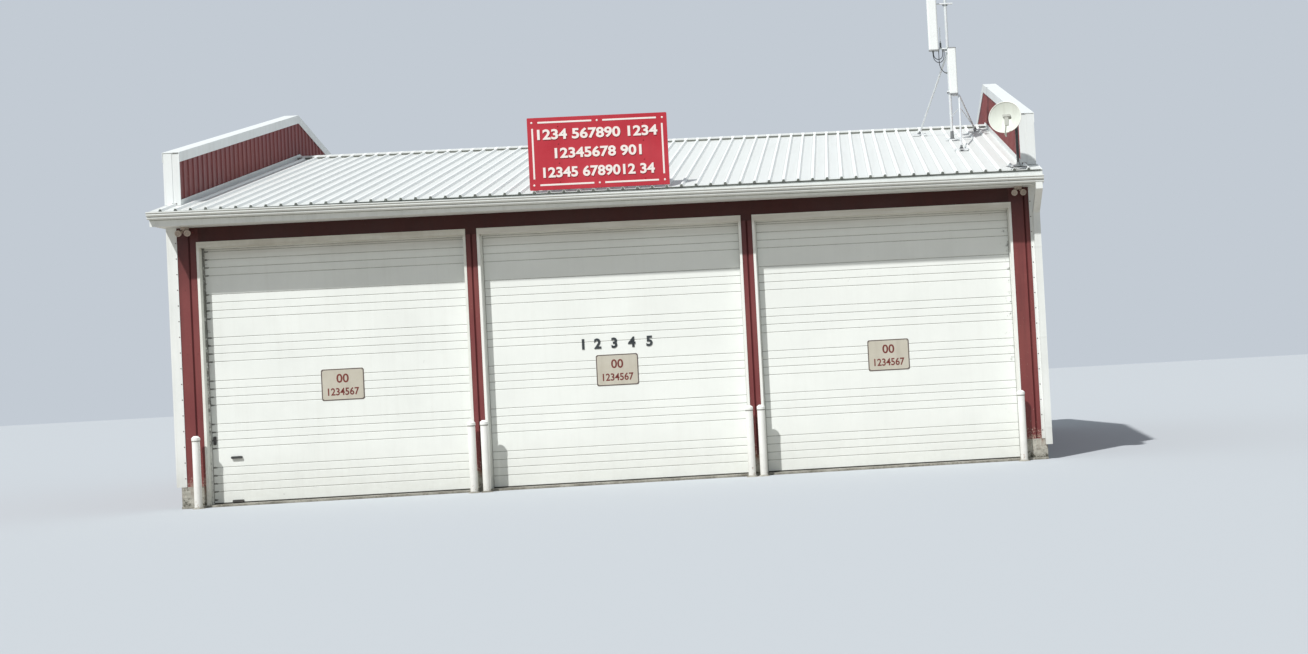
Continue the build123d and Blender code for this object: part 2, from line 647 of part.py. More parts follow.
with BuildPart() as sign_posts:
    post_back = sign_back_y + SIGN_POST
    brace_top = sign_bottom + SIGN_HEIGHT * 0.8
    brace_foot_y = post_back + SIGN_HEIGHT * 0.7
    for post_x in [SIGN_CENTRE_X + foot_x for foot_x in SIGN_FEET]:
        foot = RIB_TOP + FOOT_PLATE_THICKNESS
        add(slab(post_x - SIGN_POST / 2, post_x + SIGN_POST / 2, [
            (sign_back_y, roof_z(sign_back_y, foot)), (post_back, roof_z(post_back, foot)),
            (post_back, brace_top - SIGN_POST), (brace_foot_y, roof_z(brace_foot_y, foot)),
            (brace_foot_y + SIGN_POST, roof_z(brace_foot_y + SIGN_POST, foot)), (post_back, brace_top),
            (post_back, sign_bottom + SIGN_HEIGHT * 0.9), (sign_back_y, sign_bottom + SIGN_HEIGHT * 0.9),
        ]))
        add(foot_plate(post_x, sign_back_y + SIGN_POST / 2, FOOT_PLATE_WIDTH, SIGN_POST))
        add(foot_plate(post_x, brace_foot_y + SIGN_POST / 2, FOOT_PLATE_WIDTH, SIGN_POST))

# Antenna mast with its welded tripod and cross bars, its two flat panels and a short whip

mast_x = OUTER_X - MAST_INSET
mast_y = FRONT_Y + MAST_SETBACK
mast_roof_z = roof_z(mast_y)
collar_z = mast_roof_z + MAST_COLLAR_HEIGHT
rear_collar_z = mast_roof_z + MAST_REAR_COLLAR_HEIGHT
bar_y = mast_y - (MAST_DIAMETER + PANEL_BAR_DIAMETER) / 2 + BAR_WELD

with BuildPart() as antenna_mast:
    add(rod((mast_x, mast_y, roof_z(mast_y, RIB_TOP + FOOT_PLATE_THICKNESS / 2)),
            (mast_x, mast_y, mast_roof_z + MAST_HEIGHT), MAST_DIAMETER))
    add(foot_plate(mast_x, mast_y, FOOT_PLATE_WIDTH, 2 * MAST_DIAMETER))
    arm_end = (mast_x + MAST_ARM, mast_y, collar_z)
    rear_head = (mast_x, mast_y, rear_collar_z)
    add(rod((mast_x, mast_y, collar_z), arm_end, MAST_LEG_DIAMETER))
    for (foot_dx, foot_dy), head in zip(MAST_FEET, (arm_end, rear_head, arm_end)):
        foot_x, foot_y = mast_x + foot_dx, mast_y + foot_dy
        foot = (foot_x, foot_y, roof_z(foot_y, RIB_TOP + FOOT_PLATE_THICKNESS / 2))
        add(rod(foot, head, MAST_LEG_DIAMETER))
        add(foot_plate(foot_x, foot_y, FOOT_PLATE_WIDTH, 2 * MAST_DIAMETER))
    front_x, front_y = mast_x + MAST_FEET[0][0], mast_y + MAST_FEET[0][1]
    right_x, right_y = mast_x + MAST_FEET[2][0], mast_y + MAST_FEET[2][1]
    front_foot = Vector(front_x, front_y, roof_z(front_y, RIB_TOP))
    right_foot = Vector(right_x, right_y, roof_z(right_y, RIB_TOP))
    knot = on_leg(front_foot, Vector(*arm_end), mast_roof_z + BRACE_RISE)
    add(rod(knot, (mast_x, mast_y, mast_roof_z + BRACE_RISE - BRACE_DROP), BRACE_DIAMETER))
    add(rod(knot, on_leg(right_foot, Vector(*arm_end), mast_roof_z + BRACE_RISE - BRACE_DROP), BRACE_DIAMETER))
    for height, reach in UPPER_BARS:
        z = mast_roof_z + height
        add(rod((mast_x + UPPER_PANEL_OFFSET, bar_y, z), (mast_x + reach, bar_y, z), PANEL_BAR_DIAMETER))
    for height in LOWER_BARS:
        z = mast_roof_z + height
        add(rod((mast_x - MAST_DIAMETER, bar_y, z), (mast_x + LOWER_PANEL_OFFSET, bar_y, z), PANEL_BAR_DIAMETER))

with BuildPart() as panel_antennas:
    for offset_x, lift, (width, depth, height) in (
        (UPPER_PANEL_OFFSET, UPPER_PANEL_HEIGHT, UPPER_PANEL), (LOWER_PANEL_OFFSET, LOWER_PANEL_HEIGHT, LOWER_PANEL),
    ):
        with BuildSketch(Plane.XY.offset(mast_roof_z + lift)):
            with Locations((mast_x + offset_x, bar_y - PANEL_BAR_DIAMETER / 2 - depth / 2)):
                RectangleRounded(width, depth, depth / 4)
        extrude(amount=height)
    whip_foot = Vector(mast_x + WHIP_OFFSET, bar_y, mast_roof_z + UPPER_BARS[1][0] + PANEL_BAR_DIAMETER / 2)
    whip_shoulder = whip_foot + Vector(0, 0, WHIP_BASE[1])
    add(rod(whip_foot, whip_shoulder, WHIP_BASE[0]))
    add(rod(whip_shoulder, whip_shoulder + Vector(0, 0, WHIP_ROD[1]), WHIP_ROD[0]))

cables = [
    cable([(mast_x + x, bar_y + y, mast_roof_z + z) for x, y, z in route], CABLE_DIAMETER) for route in CABLE_ROUTES
]

# Dish on its pole near the right end of the eave

pole_x = OUTER_X - DISH_POLE_INSET
pole_y = FRONT_Y - DISH_POLE_REACH
pole_head = Vector(pole_x, pole_y, roof_z(pole_y) + DISH_POLE_HEIGHT)
facing = Vector(*DISH_FACING).normalized()
dish_plane = Plane(origin=pole_head + Vector(*DISH_OFFSET), x_dir=Vector(0, 0, 1).cross(facing), z_dir=facing)

with BuildPart() as satellite_dish:
    rim = DISH_DIAMETER / 2
    bowl = [(rim * step, DISH_SAG * (step**2 - 1)) for step in DISH_STEPS]
    back = [(radius, z - DISH_SHEET) for radius, z in bowl]
    with BuildSketch(Plane(origin=dish_plane.origin, x_dir=dish_plane.x_dir, z_dir=-dish_plane.y_dir)):
        with BuildLine():
            Polyline(*bowl, *reversed(back), close=True)
        make_face()
    revolve(axis=Axis(dish_plane.origin, dish_plane.z_dir))

back_reach = DISH_SAG + DISH_SHEET + DISH_BOSS_LENGTH / 2
dish_back = dish_plane.origin - dish_plane.z_dir * (DISH_SAG + DISH_SHEET)
below_rim = -dish_plane.y_dir * (DISH_DIAMETER / 2 + FEED_ARM)
arm_back = dish_plane.origin + below_rim - dish_plane.z_dir * back_reach
arm_front = dish_plane.origin + below_rim
feed_place = dish_plane.from_local_coords(Vector(*FEED_OFFSET))
arm_root = arm_back + dish_plane.y_dir * (DISH_DIAMETER / 2 + FEED_ARM - DISH_BOSS / 2)

with BuildPart() as dish_feed:
    with BuildLine() as arm_path:
        Polyline(arm_root, arm_back, arm_front, feed_place)
    with BuildSketch(Plane(origin=arm_root, z_dir=arm_back - arm_root)):
        RegularPolygon(FEED_ARM / 2, 8)
    sweep(path=arm_path.wires()[0], transition=Transition.RIGHT)
    throat = dish_plane.z_dir * FEED_LENGTH / 2
    add(rod(feed_place + throat, feed_place - throat, FEED_DIAMETER))

with BuildPart() as dish_pole:
    pole_foot = Vector(pole_x, pole_y, roof_z(pole_y, RIB_TOP + FOOT_PLATE_THICKNESS / 2))
    boss_end = dish_back - dish_plane.z_dir * DISH_BOSS_LENGTH
    add(foot_plate(pole_x, pole_y, FOOT_PLATE_WIDTH, 2 * DISH_POLE_DIAMETER))
    add(rod(pole_foot, pole_head, DISH_POLE_DIAMETER))
    add(rod(dish_back, boss_end, DISH_BOSS))
    add(rod(boss_end, pole_head - Vector(0, 0, DISH_POLE_DIAMETER), DISH_ARM_DIAMETER))

# Floodlights under the eave, bollards and the hardware of the left door


def floodlight(x):
    """Twin lamp heads on a base under the soffit, close to the front wall."""
    base_y = FRONT_Y - LIGHT_BASE
    with BuildPart() as light:
        with BuildSketch(Plane.XY.offset(SOFFIT_Z)):
            with Locations((x, base_y)):
                Circle(LIGHT_BASE / 2)
        extrude(amount=-LIGHT_BASE / 3)
        for side in (-1, 1):
            neck = Vector(x, base_y, SOFFIT_Z - LIGHT_BASE / 4)
            rear = Vector(x + side * HEAD_SPACING / 2, base_y, SOFFIT_Z - LIGHT_DROP + HEAD_DIAMETER / 6)
            aim = Vector(side * HEAD_LENGTH / 5, -HEAD_LENGTH, -HEAD_LENGTH / 3).normalized()
            add(rod(neck, rear + aim * HEAD_DIAMETER / 8, HEAD_DIAMETER / 4))
            head = Plane(origin=rear, z_dir=aim)
            with BuildSketch(Plane(origin=rear, x_dir=head.x_dir, z_dir=-head.y_dir)):
                with BuildLine():
                    Polyline((0, 0), (HEAD_DIAMETER / 4, 0), (HEAD_DIAMETER / 2, HEAD_LENGTH * 0.8),
                             (HEAD_DIAMETER / 2, HEAD_LENGTH), (0, HEAD_LENGTH), close=True)
                make_face()
            revolve(axis=Axis(rear, aim))
    return light.part


with BuildPart() as floodlights:
    add(floodlight(OUTER_X - LIGHT_INSET))
    mirror(about=Plane.YZ)

column_bollards = [
    column * BAY_PITCH / 2 + offset
    for column, offsets in zip((-1, 1), BOLLARDS_AT_COLUMNS) for offset in offsets
]
outer_trim_x = BAY_PITCH + DOOR_WIDTH / 2 + JAMB_LEG
bollard_places = [-outer_trim_x - BOLLARD_LEFT, *column_bollards, outer_trim_x + BOLLARD_RIGHT]

with BuildPart() as bollards:
    pipe = BOLLARD_DIAMETER / 2
    cap = BOLLARD_CAP_DIAMETER / 2
    shoulder = BOLLARD_HEIGHT - BOLLARD_CAP_HEIGHT
    edge = BOLLARD_HEIGHT - BOLLARD_DOME
    for place in bollard_places:
        foot = (place, FRONT_Y - BOLLARD_STANDOFF, 0)
        with BuildSketch(Plane(origin=foot, x_dir=(1, 0, 0), z_dir=(0, -1, 0))):
            with BuildLine():
                Polyline((0, 0), (pipe, 0), (pipe, shoulder), (cap, shoulder), (cap, edge),
                         (cap / 2, BOLLARD_HEIGHT), (0, BOLLARD_HEIGHT), close=True)
            make_face()
        revolve(axis=Axis(foot, (0, 0, 1)))

with BuildPart() as door_hardware:
    for x, z, length, height, reach in HARDWARE:
        place = (-outer_trim_x + JAMB_LEG + x, INNER_Y, SLAB_TOP + z)
        with BuildSketch(Plane(origin=place, x_dir=(1, 0, 0), z_dir=(0, -1, 0))):
            plate = Rectangle(length, height)
            chamfer(plate.vertices(), min(length, height) / 4)
        extrude(amount=reach)

pieces = {
    "floor_slab": floor_slab.part,
    "stem_wall_left": stem_wall_left.part,
    "stem_wall_right": stem_wall_right.part,
    "stem_wall_rear": stem_wall_rear.part,
    "stem_piers_front": stem_piers_front.part,
    "door_columns": door_columns.part,
    "corner_panels": corner_panels.part,
    "front_header": front_header.part,
    "end_wall_right": end_wall(),
    "end_wall_left": mirror(end_wall(), about=Plane.YZ),
    "end_siding_right": end_siding(),
    "end_siding_left": mirror(end_siding(), about=Plane.YZ),
    "parapet_lining_right": parapet_lining(),
    "parapet_lining_left": mirror(parapet_lining(), about=Plane.YZ),
    "coping_right": coping(),
    "coping_left": mirror(coping(), about=Plane.YZ),
    "parapet_caps": parapet_caps.part,
    "corner_trims": corner_trims.part,
    "roof_flashings": roof_flashings.part,
    "rear_wall": rear_wall.part,
    "rear_siding": rear_siding.part,
    "roof_sheet_front": roof_sheet(),
    "roof_sheet_rear": mirror(roof_sheet(), about=Plane.XZ),
    "roof_deck_front": roof_deck(),
    "roof_deck_rear": mirror(roof_deck(), about=Plane.XZ),
    "ridge_cap": ridge_cap.part,
    "soffits": soffits.part,
    "fascias": fascias.part,
    "eave_end_boards": eave_end_boards.part,
    "gutter_front": gutter(),
    "gutter_rear": mirror(gutter(), about=Plane.XZ),
    "downspouts": downspouts.part,
    "sign_board": sign_board.part,
    "sign_posts": sign_posts.part,
    "antenna_mast": antenna_mast.part,
    "panel_antennas": panel_antennas.part,
    "jumper_cable_1": cables[0],
    "jumper_cable_2": cables[1],
    "jumper_cable_3": cables[2],
    "satellite_dish": satellite_dish.part,
    "dish_feed": dish_feed.part,
    "dish_pole": dish_pole.part,
    "floodlights": floodlights.part,
    "bollards": bollards.part,
    "door_hardware": door_hardware.part,
}
for number, place in enumerate(DOOR_PLACES, start=1):
    pieces[f"sectional_door_{number}"] = sectional_door(place)
    pieces[f"door_trim_{number}"] = door_trim(place)

os.makedirs("parts", exist_ok=True)
for name, piece in pieces.items():
    piece.label = name
    export_step(piece, f"parts/{name}.step")
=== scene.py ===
import math

import bmesh
import bpy
import numpy as np
from mathutils import Matrix, Vector


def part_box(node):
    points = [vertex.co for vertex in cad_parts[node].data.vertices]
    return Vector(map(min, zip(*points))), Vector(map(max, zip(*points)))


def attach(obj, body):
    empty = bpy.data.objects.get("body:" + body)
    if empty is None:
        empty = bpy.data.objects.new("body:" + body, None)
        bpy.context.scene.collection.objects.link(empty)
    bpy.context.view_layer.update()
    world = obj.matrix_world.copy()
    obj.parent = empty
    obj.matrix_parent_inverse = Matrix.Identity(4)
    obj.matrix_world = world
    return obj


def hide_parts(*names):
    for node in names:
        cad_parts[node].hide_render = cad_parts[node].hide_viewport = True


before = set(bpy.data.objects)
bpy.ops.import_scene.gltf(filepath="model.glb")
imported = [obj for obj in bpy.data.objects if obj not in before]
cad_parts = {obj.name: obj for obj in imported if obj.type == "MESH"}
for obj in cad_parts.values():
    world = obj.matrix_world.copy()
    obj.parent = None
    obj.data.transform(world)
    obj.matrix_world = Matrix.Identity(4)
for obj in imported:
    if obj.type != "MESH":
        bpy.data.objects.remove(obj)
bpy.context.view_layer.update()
scene = bpy.context.scene
scene.view_settings.view_transform = "Standard"


# Camera: about 24 m in front of the doors and to the right of the middle bay. It stands at eye
# height, looks slightly up and is tipped by three degrees, so the near left corner hangs lower in
# the picture. The lens shift keeps the whole front inside the frame.
sight = bpy.data.cameras.new("camera")
sight.sensor_fit = "HORIZONTAL"
sight.sensor_width = 36.0
sight.lens = 45.618
sight.shift_x = -0.2145
sight.shift_y = -0.0058
sight.clip_end = 500.0
camera = bpy.data.objects.new("camera", sight)
camera_place = (3.24124, -29.00314, 1.49513)
camera_right = (0.9970544, -0.05399281, -0.0544729)
camera_up = (0.0530235, -0.02792376, 0.99820277)
camera_back = (-0.05541686, -0.99815081, -0.02497862)
camera_turn = Matrix((camera_right, camera_up, camera_back)).transposed().to_4x4()
camera.matrix_world = Matrix.Translation(camera_place) @ camera_turn
scene.collection.objects.link(camera)
scene.camera = camera


# Light and floor: one broad sun from the upper left in front, as on a clear afternoon, and an
# even pale sky. The floor is a level pale plane, a little darker to the light that it throws
# back than to the camera, so white walls keep their modelling.
def linear(code):
    """A colour written as sRGB hex, turned to linear red, green, blue and alpha: small parts are divided by
    12.92, the others shifted, scaled and raised to the power 2.4."""
    parts = [int(code[i : i + 2], 16) / 255 for i in (1, 3, 5)]
    return tuple(c / 12.92 if c <= 0.04045 else ((c + 0.055) / 1.055) ** 2.4 for c in parts) + (1.0,)


def fill(node, inputs):
    """Fills a node's inputs, which go by name or number, each with a value, a socket to link, or another
    node, of which the first socket in use is linked."""
    for name, value in inputs.items():
        if isinstance(value, bpy.types.Node):
            value = next(socket for socket in value.outputs if socket.enabled)
        if isinstance(value, bpy.types.NodeSocket):
            node.id_data.links.new(value, node.inputs[name])
        else:
            node.inputs[name].default_value = value


def add(tree, kind, inputs=None, **settings):
    """Adds one node to a tree, with its settings and its inputs."""
    made = tree.nodes.new(kind)
    for name, value in settings.items():
        setattr(made, name, value)
    fill(made, inputs or {})
    return made


sun_travel = Vector((0.60, 1.0, -1.40))
sun = bpy.data.objects.new("sun", bpy.data.lights.new("sun", "SUN"))
sun.data.energy = 3.53
sun.data.angle = math.radians(1.2)
sun.data.color = (1.0, 0.99, 0.965)
sun.rotation_mode = "QUATERNION"
sun.rotation_quaternion = sun_travel.to_track_quat("-Z", "Y")
scene.collection.objects.link(sun)

sky_seen, sky_light, sky_strength = "#C3CBD4", (0.86, 0.93, 1.0, 1.0), 0.44
world = bpy.data.worlds.new("sky")
world.use_nodes = True
scene.world = world
tree = world.node_tree
tree.nodes.clear()
ray = add(tree, "ShaderNodeLightPath").outputs
seen = add(tree, "ShaderNodeMath", {0: ray["Is Camera Ray"], 1: ray["Is Glossy Ray"]}, operation="MAXIMUM")
seen = add(tree, "ShaderNodeMath", {0: seen, 1: ray["Is Transmission Ray"]}, operation="MAXIMUM")
ambient = add(tree, "ShaderNodeBackground", {"Color": sky_light, "Strength": sky_strength})
shown = add(tree, "ShaderNodeBackground", {"Color": linear(sky_seen), "Strength": 1.0})
both = add(tree, "ShaderNodeMixShader", {0: seen, 1: ambient, 2: shown})
add(tree, "ShaderNodeOutputWorld", {"Surface": both})

floor_reach, floor_lit, floor_seen = 150, "#A9A49C", "#BFC4C9"
floor_corners = [(x * floor_reach, y * floor_reach, 0) for x, y in ((-1, -1), (1, -1), (1, 1), (-1, 1))]
floor_mesh = bpy.data.meshes.new("floor")
floor_mesh.from_pydata(floor_corners, [], [(0, 1, 2, 3)])
floor = bpy.data.objects.new("floor", floor_mesh)
scene.collection.objects.link(floor)
floor_finish = bpy.data.materials.new("plain_floor")
floor_finish.use_nodes = True
tree = floor_finish.node_tree
ray = add(tree, "ShaderNodeLightPath").outputs
tone = add(
    tree, "ShaderNodeMix",
    {0: ray["Is Camera Ray"], 6: linear(floor_lit), 7: linear(floor_seen)}, data_type="RGBA",
)
fill(tree.nodes["Principled BSDF"], {"Base Color": tone, "Roughness": 0.9, "Specular IOR Level": 0.1})
floor_mesh.materials.append(floor_finish)


# Slab, stem walls and the short piers beside the doors: concrete cast against rough boards, weathered
# to a pale buff. Sand and stone are bared and air has left pits; each pour shows as a dark line, rust
# has washed down from the sheet's cut edge, and black algae grow on the damp foot.
def new_finish(name):
    """A new material, its node tree, and the place on the object in metres, which its patterns read."""
    made = bpy.data.materials.new(name)
    made.use_nodes = True
    return made, made.node_tree, add(made.node_tree, "ShaderNodeTexCoord").outputs["Object"]


def dress(finish, *names):
    """Gives nodes of the frame a finish, in the slots their objects already have."""
    for name in names:
        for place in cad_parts[name].material_slots:
            place.material = finish


# Scales are in cells per metre: 3.2 gives clouds of 310 mm, 34 stones drawn 29 mm wide so that they show,
# 26 pits 38 mm apart, 7.1 boards 140 mm wide, 22 pours 45 mm high, 16 runs of rust 62 mm apart, 14 algae
# in spots of 70 mm.
concrete, tree, where = new_finish("board_cast_concrete")
height = add(tree, "ShaderNodeSeparateXYZ", {0: where}).outputs["Z"]
clouds = add(tree, "ShaderNodeTexNoise", {"Vector": where, "Scale": 3.2, "Detail": 8.0, "Roughness": 0.68})
stones = add(tree, "ShaderNodeTexNoise", {"Vector": where, "Scale": 34.0, "Detail": 5.0, "Roughness": 0.75})
pits = add(tree, "ShaderNodeTexVoronoi", {"Vector": where, "Scale": 26.0, "Randomness": 1.0})
pit_depth = add(tree, "ShaderNodeMapRange", {"Value": pits, "From Min": 0.05, "From Max": 0.22})
boards = add(tree, "ShaderNodeMath", {0: height, 1: 7.1}, operation="MULTIPLY")
boards = add(tree, "ShaderNodeMath", {0: boards}, operation="FRACT")
board_line = add(tree, "ShaderNodeMapRange", {"Value": boards, "From Min": 0.0, "From Max": 0.05})
blotches = add(tree, "ShaderNodeMapRange", {"Value": clouds, "From Min": 0.32, "From Max": 0.62})
lifts = add(tree, "ShaderNodeMapping", {"Vector": where, "Scale": (3.0, 3.0, 22.0)})
lifts = add(tree, "ShaderNodeTexNoise", {"Vector": lifts, "Scale": 1.0, "Detail": 5.0, "Roughness": 0.7})
pours = add(tree, "ShaderNodeMapRange", {"Value": lifts, "From Min": 0.56, "From Max": 0.66, "To Max": 0.6})
bared = add(tree, "ShaderNodeMapRange", {"Value": stones, "From Min": 0.54, "From Max": 0.66, "To Max": 0.85})
bright = add(tree, "ShaderNodeMapRange", {"Value": stones, "From Min": 0.4, "From Max": 0.3, "To Max": 0.6})
washed = add(tree, "ShaderNodeMapping", {"Vector": where, "Scale": (16.0, 16.0, 2.5)})
rust = add(tree, "ShaderNodeTexNoise", {"Vector": washed, "Scale": 1.0, "Detail": 4.0})
rust_edge = add(tree, "ShaderNodeMapRange", {"Value": height, "From Min": 0.12, "From Max": 0.3})
rust_runs = add(tree, "ShaderNodeMapRange", {"Value": rust, "From Min": 0.46, "From Max": 0.64})
rust_here = add(tree, "ShaderNodeMath", {0: rust_edge, 1: rust_runs}, operation="MULTIPLY")
damp = add(
    tree, "ShaderNodeMapRange",
    {"Value": height, "From Min": 0.0, "From Max": 0.09, "To Min": 0.25, "To Max": 0.0},
)
foot = add(tree, "ShaderNodeMapRange", {"Value": height, "From Min": 0.16, "From Max": 0.04, "To Max": 0.22})
algae = add(tree, "ShaderNodeTexNoise", {"Vector": where, "Scale": 14.0, "Detail": 7.0, "Roughness": 0.7})
algae = add(tree, "ShaderNodeMath", {0: algae, 1: foot}, operation="ADD")
algae = add(tree, "ShaderNodeMapRange", {"Value": algae, "From Min": 0.62, "From Max": 0.72, "To Max": 0.85})
at_wall = add(tree, "ShaderNodeMath", {0: height, 1: 0.034}, operation="GREATER_THAN")
algae = add(tree, "ShaderNodeMath", {0: algae, 1: at_wall}, operation="MULTIPLY")
layers = [
    (pours, "#77736A"), (bared, "#615A50"), (bright, "#E3DBCC"),
    (rust_here, "#7A5443"), (damp, "#544B40"), (algae, "#3C3B31"),
]
tone = add(tree, "ShaderNodeMix", {0: blotches, 6: linear("#727067"), 7: linear("#BFBEB5")}, data_type="RGBA")
for mask, colour in layers:
    tone = add(tree, "ShaderNodeMix", {0: mask, 6: tone, 7: linear(colour)}, data_type="RGBA")
relief = add(tree, "ShaderNodeMath", {0: stones, 1: pit_depth}, operation="ADD")
relief = add(tree, "ShaderNodeMath", {0: relief, 1: board_line}, operation="ADD")
bump = add(tree, "ShaderNodeBump", {"Height": relief, "Strength": 0.6, "Distance": 0.006})
shader = tree.nodes["Principled BSDF"]
fill(shader, {"Base Color": tone, "Roughness": 0.92, "Specular IOR Level": 0.25, "Normal": bump})
dress(concrete, "floor_slab", "stem_wall_left", "stem_wall_right", "stem_wall_rear", "stem_piers_front")


# Red sheet: galvanised steel, roll-formed and coil-coated barn red. Sun and rain have chalked it to
# a duller rose on the open faces. Under the eave the red is painted darker, a painted shade, and a
# dark line along each crease is painted shade too. Along the lowest edge it is chipped to the pale
# primer and bitten by rust.
def weathered_paint(
    name, paint, faded, grime, patch=0.9, streaks=0.3, splash=0.3, gloss=0.45, specks=0.0,
    chips=None, mould=None, toning=None,
):
    """A coat or a moulded skin that has stood outdoors. Paint and faded tone mix in soft patches, so many to
    the metre; streaks are noise drawn out upright, shown where it passes a limit; splashed earth thins out
    from 0.1 to 0.75 m above the ground. chips is the height up to which rust and primer break through, mould
    the place in x where black growth starts, how far it reaches and how dense it is, toning two heights, a
    colour and a strength for a tone that grows in uneven clouds from the lower height to the upper one.
    Streaks stand some 70 mm apart; splashes are 90 mm wide, specks 18, flakes 36, mould spots 77, and the
    toning's clouds 60 mm high."""
    made, tree, where = new_finish(name)
    place = add(tree, "ShaderNodeSeparateXYZ", {0: where}).outputs
    patches = add(
        tree, "ShaderNodeTexNoise", {"Vector": where, "Scale": patch, "Detail": 6.0, "Roughness": 0.6}
    )
    soft = add(tree, "ShaderNodeMapRange", {"Value": patches, "From Min": 0.34, "From Max": 0.66})
    drawn = add(tree, "ShaderNodeMapping", {"Vector": where, "Scale": (14.0, 14.0, 0.7)})
    runs = add(tree, "ShaderNodeTexNoise", {"Vector": drawn, "Scale": 1.0, "Detail": 5.0, "Roughness": 0.6})
    streaked = add(
        tree, "ShaderNodeMapRange", {"Value": runs, "From Min": 0.48, "From Max": 0.78, "To Max": streaks}
    )
    low = add(
        tree, "ShaderNodeMapRange",
        {"Value": place["Z"], "From Min": 0.1, "From Max": 0.75, "To Min": splash, "To Max": 0.0},
    )
    mud = add(tree, "ShaderNodeTexNoise", {"Vector": where, "Scale": 11.0, "Detail": 6.0, "Roughness": 0.7})
    splashed = add(tree, "ShaderNodeMath", {0: low, 1: mud}, operation="MULTIPLY")
    fine = add(tree, "ShaderNodeTexNoise", {"Vector": where, "Scale": 55.0, "Detail": 3.0, "Roughness": 0.8})
    spots = add(
        tree, "ShaderNodeMapRange", {"Value": fine, "From Min": 0.62, "From Max": 0.74, "To Max": specks}
    )
    layers = [(streaked, grime), (splashed, grime), (spots, grime)]
    if chips:
        near = add(
            tree, "ShaderNodeMapRange", {"Value": place["Z"], "From Min": chips, "From Max": chips - 0.28}
        )
        flakes = add(
            tree, "ShaderNodeTexNoise", {"Vector": where, "Scale": 28.0, "Detail": 6.0, "Roughness": 0.75}
        )
        depth = add(tree, "ShaderNodeMath", {0: near, 1: 0.17, 2: flakes}, operation="MULTIPLY_ADD")
        for colour, least, most, thick in (("#BCAA9C", 0.665, 0.685, 0.8), ("#5D3627", 0.715, 0.75, 0.9)):
            bared = add(
                tree, "ShaderNodeMapRange",
                {"Value": depth, "From Min": least, "From Max": most, "To Max": thick},
            )
            layers.append((bared, colour))
    if mould:
        start, reach, dense = mould
        near = add(
            tree, "ShaderNodeMapRange",
            {"Value": place["X"], "From Min": start + reach, "From Max": start, "To Max": dense},
        )
        higher = add(
            tree, "ShaderNodeMapRange",
            {"Value": place["Z"], "From Min": 0.4, "From Max": 3.4, "To Min": 0.4, "To Max": 1.0},
        )
        near = add(tree, "ShaderNodeMath", {0: near, 1: higher}, operation="MULTIPLY")
        growth = add(
            tree, "ShaderNodeTexNoise", {"Vector": where, "Scale": 13.0, "Detail": 7.0, "Roughness": 0.72}
        )
        depth = add(tree, "ShaderNodeMath", {0: near, 1: growth}, operation="ADD")
        black = add(
            tree, "ShaderNodeMapRange", {"Value": depth, "From Min": 0.68, "From Max": 0.78, "To Max": 0.8}
        )
        layers.append((black, "#45463F"))
    if toning:
        toning_start, toning_full, colour, strength = toning
        near = add(
            tree, "ShaderNodeMapRange",
            {"Value": place["Z"], "From Min": toning_start, "From Max": toning_full, "To Max": strength},
        )
        level = add(tree, "ShaderNodeMapping", {"Vector": where, "Scale": (1.1, 1.1, 16.0)})
        toning_clouds = add(
            tree, "ShaderNodeTexNoise", {"Vector": level, "Scale": 1.0, "Detail": 5.0, "Roughness": 0.6}
        )
        uneven = add(tree, "ShaderNodeMapRange", {"Value": toning_clouds, "From Min": 0.0, "From Max": 0.62})
        here = add(tree, "ShaderNodeMath", {0: near, 1: uneven}, operation="MULTIPLY")
        layers.append((here, colour))
    tone = add(tree, "ShaderNodeMix", {0: soft, 6: linear(paint), 7: linear(faded)}, data_type="RGBA")
    for mask, colour in layers:
        tone = add(tree, "ShaderNodeMix", {0: mask, 6: tone, 7: linear(colour)}, data_type="RGBA")
    sheen = add(
        tree, "ShaderNodeMapRange",
        {"Value": patches, "From Min": 0.3, "From Max": 0.7, "To Min": gloss - 0.08, "To Max": gloss + 0.12},
    )
    # oil-canning: pans this thin never lie quite flat, waves some 300 mm long and under a millimetre high
    waves = add(tree, "ShaderNodeTexNoise", {"Vector": where, "Scale": 3.0, "Detail": 1.0})
    bump = add(tree, "ShaderNodeBump", {"Height": waves, "Strength": 0.25, "Distance": 0.006})
    fill(tree.nodes["Principled BSDF"], {"Base Color": tone, "Roughness": sheen, "Normal": bump})
    return made


def distance_from(tree, middle, value):
    """How far a value lies from a middle, to either side."""
    away = add(tree, "ShaderNodeMath", {0: value, 1: middle}, operation="SUBTRACT")
    return add(tree, "ShaderNodeMath", {0: away}, operation="ABSOLUTE")


eave_shade_red = "#370B07"
red_paint = weathered_paint(
    "chalked_barn_red_steel", "#743436", "#80403E", "#4C2725",
    streaks=0.4, splash=0.5, gloss=0.5, specks=0.15, chips=0.6,
)
# The header's red is painted a deep, nearly black red, a painted shade under the eave; its screws share it.
header_shade_red = weathered_paint(
    "barn_red_steel_with_painted_eave_shade", eave_shade_red, "#3E0E09", "#240E0B", streaks=0.3, splash=0.0, gloss=0.62
)
column_x = 1.943
# Columns and corner panels: a dark line along each crease is painted shade, and the red is painted darker
# from 2.95 m up towards the eave, also painted shade.
column_red_with_painted_shade = red_paint.copy()
column_red_with_painted_shade.name = "chalked_barn_red_steel_with_painted_shade"
tree = column_red_with_painted_shade.node_tree
shader = tree.nodes["Principled BSDF"]
place = add(tree, "ShaderNodeSeparateXYZ", {0: add(tree, "ShaderNodeTexCoord").outputs["Object"]}).outputs
layers = []
for crease_x in (-5.850, -column_x, column_x, 5.940):
    away = distance_from(tree, crease_x, place["X"])
    crease = add(
        tree, "ShaderNodeMapRange", {"Value": away, "From Min": 0.017, "From Max": 0.008, "To Max": 0.65}
    )
    layers.append((crease, "#43161A"))
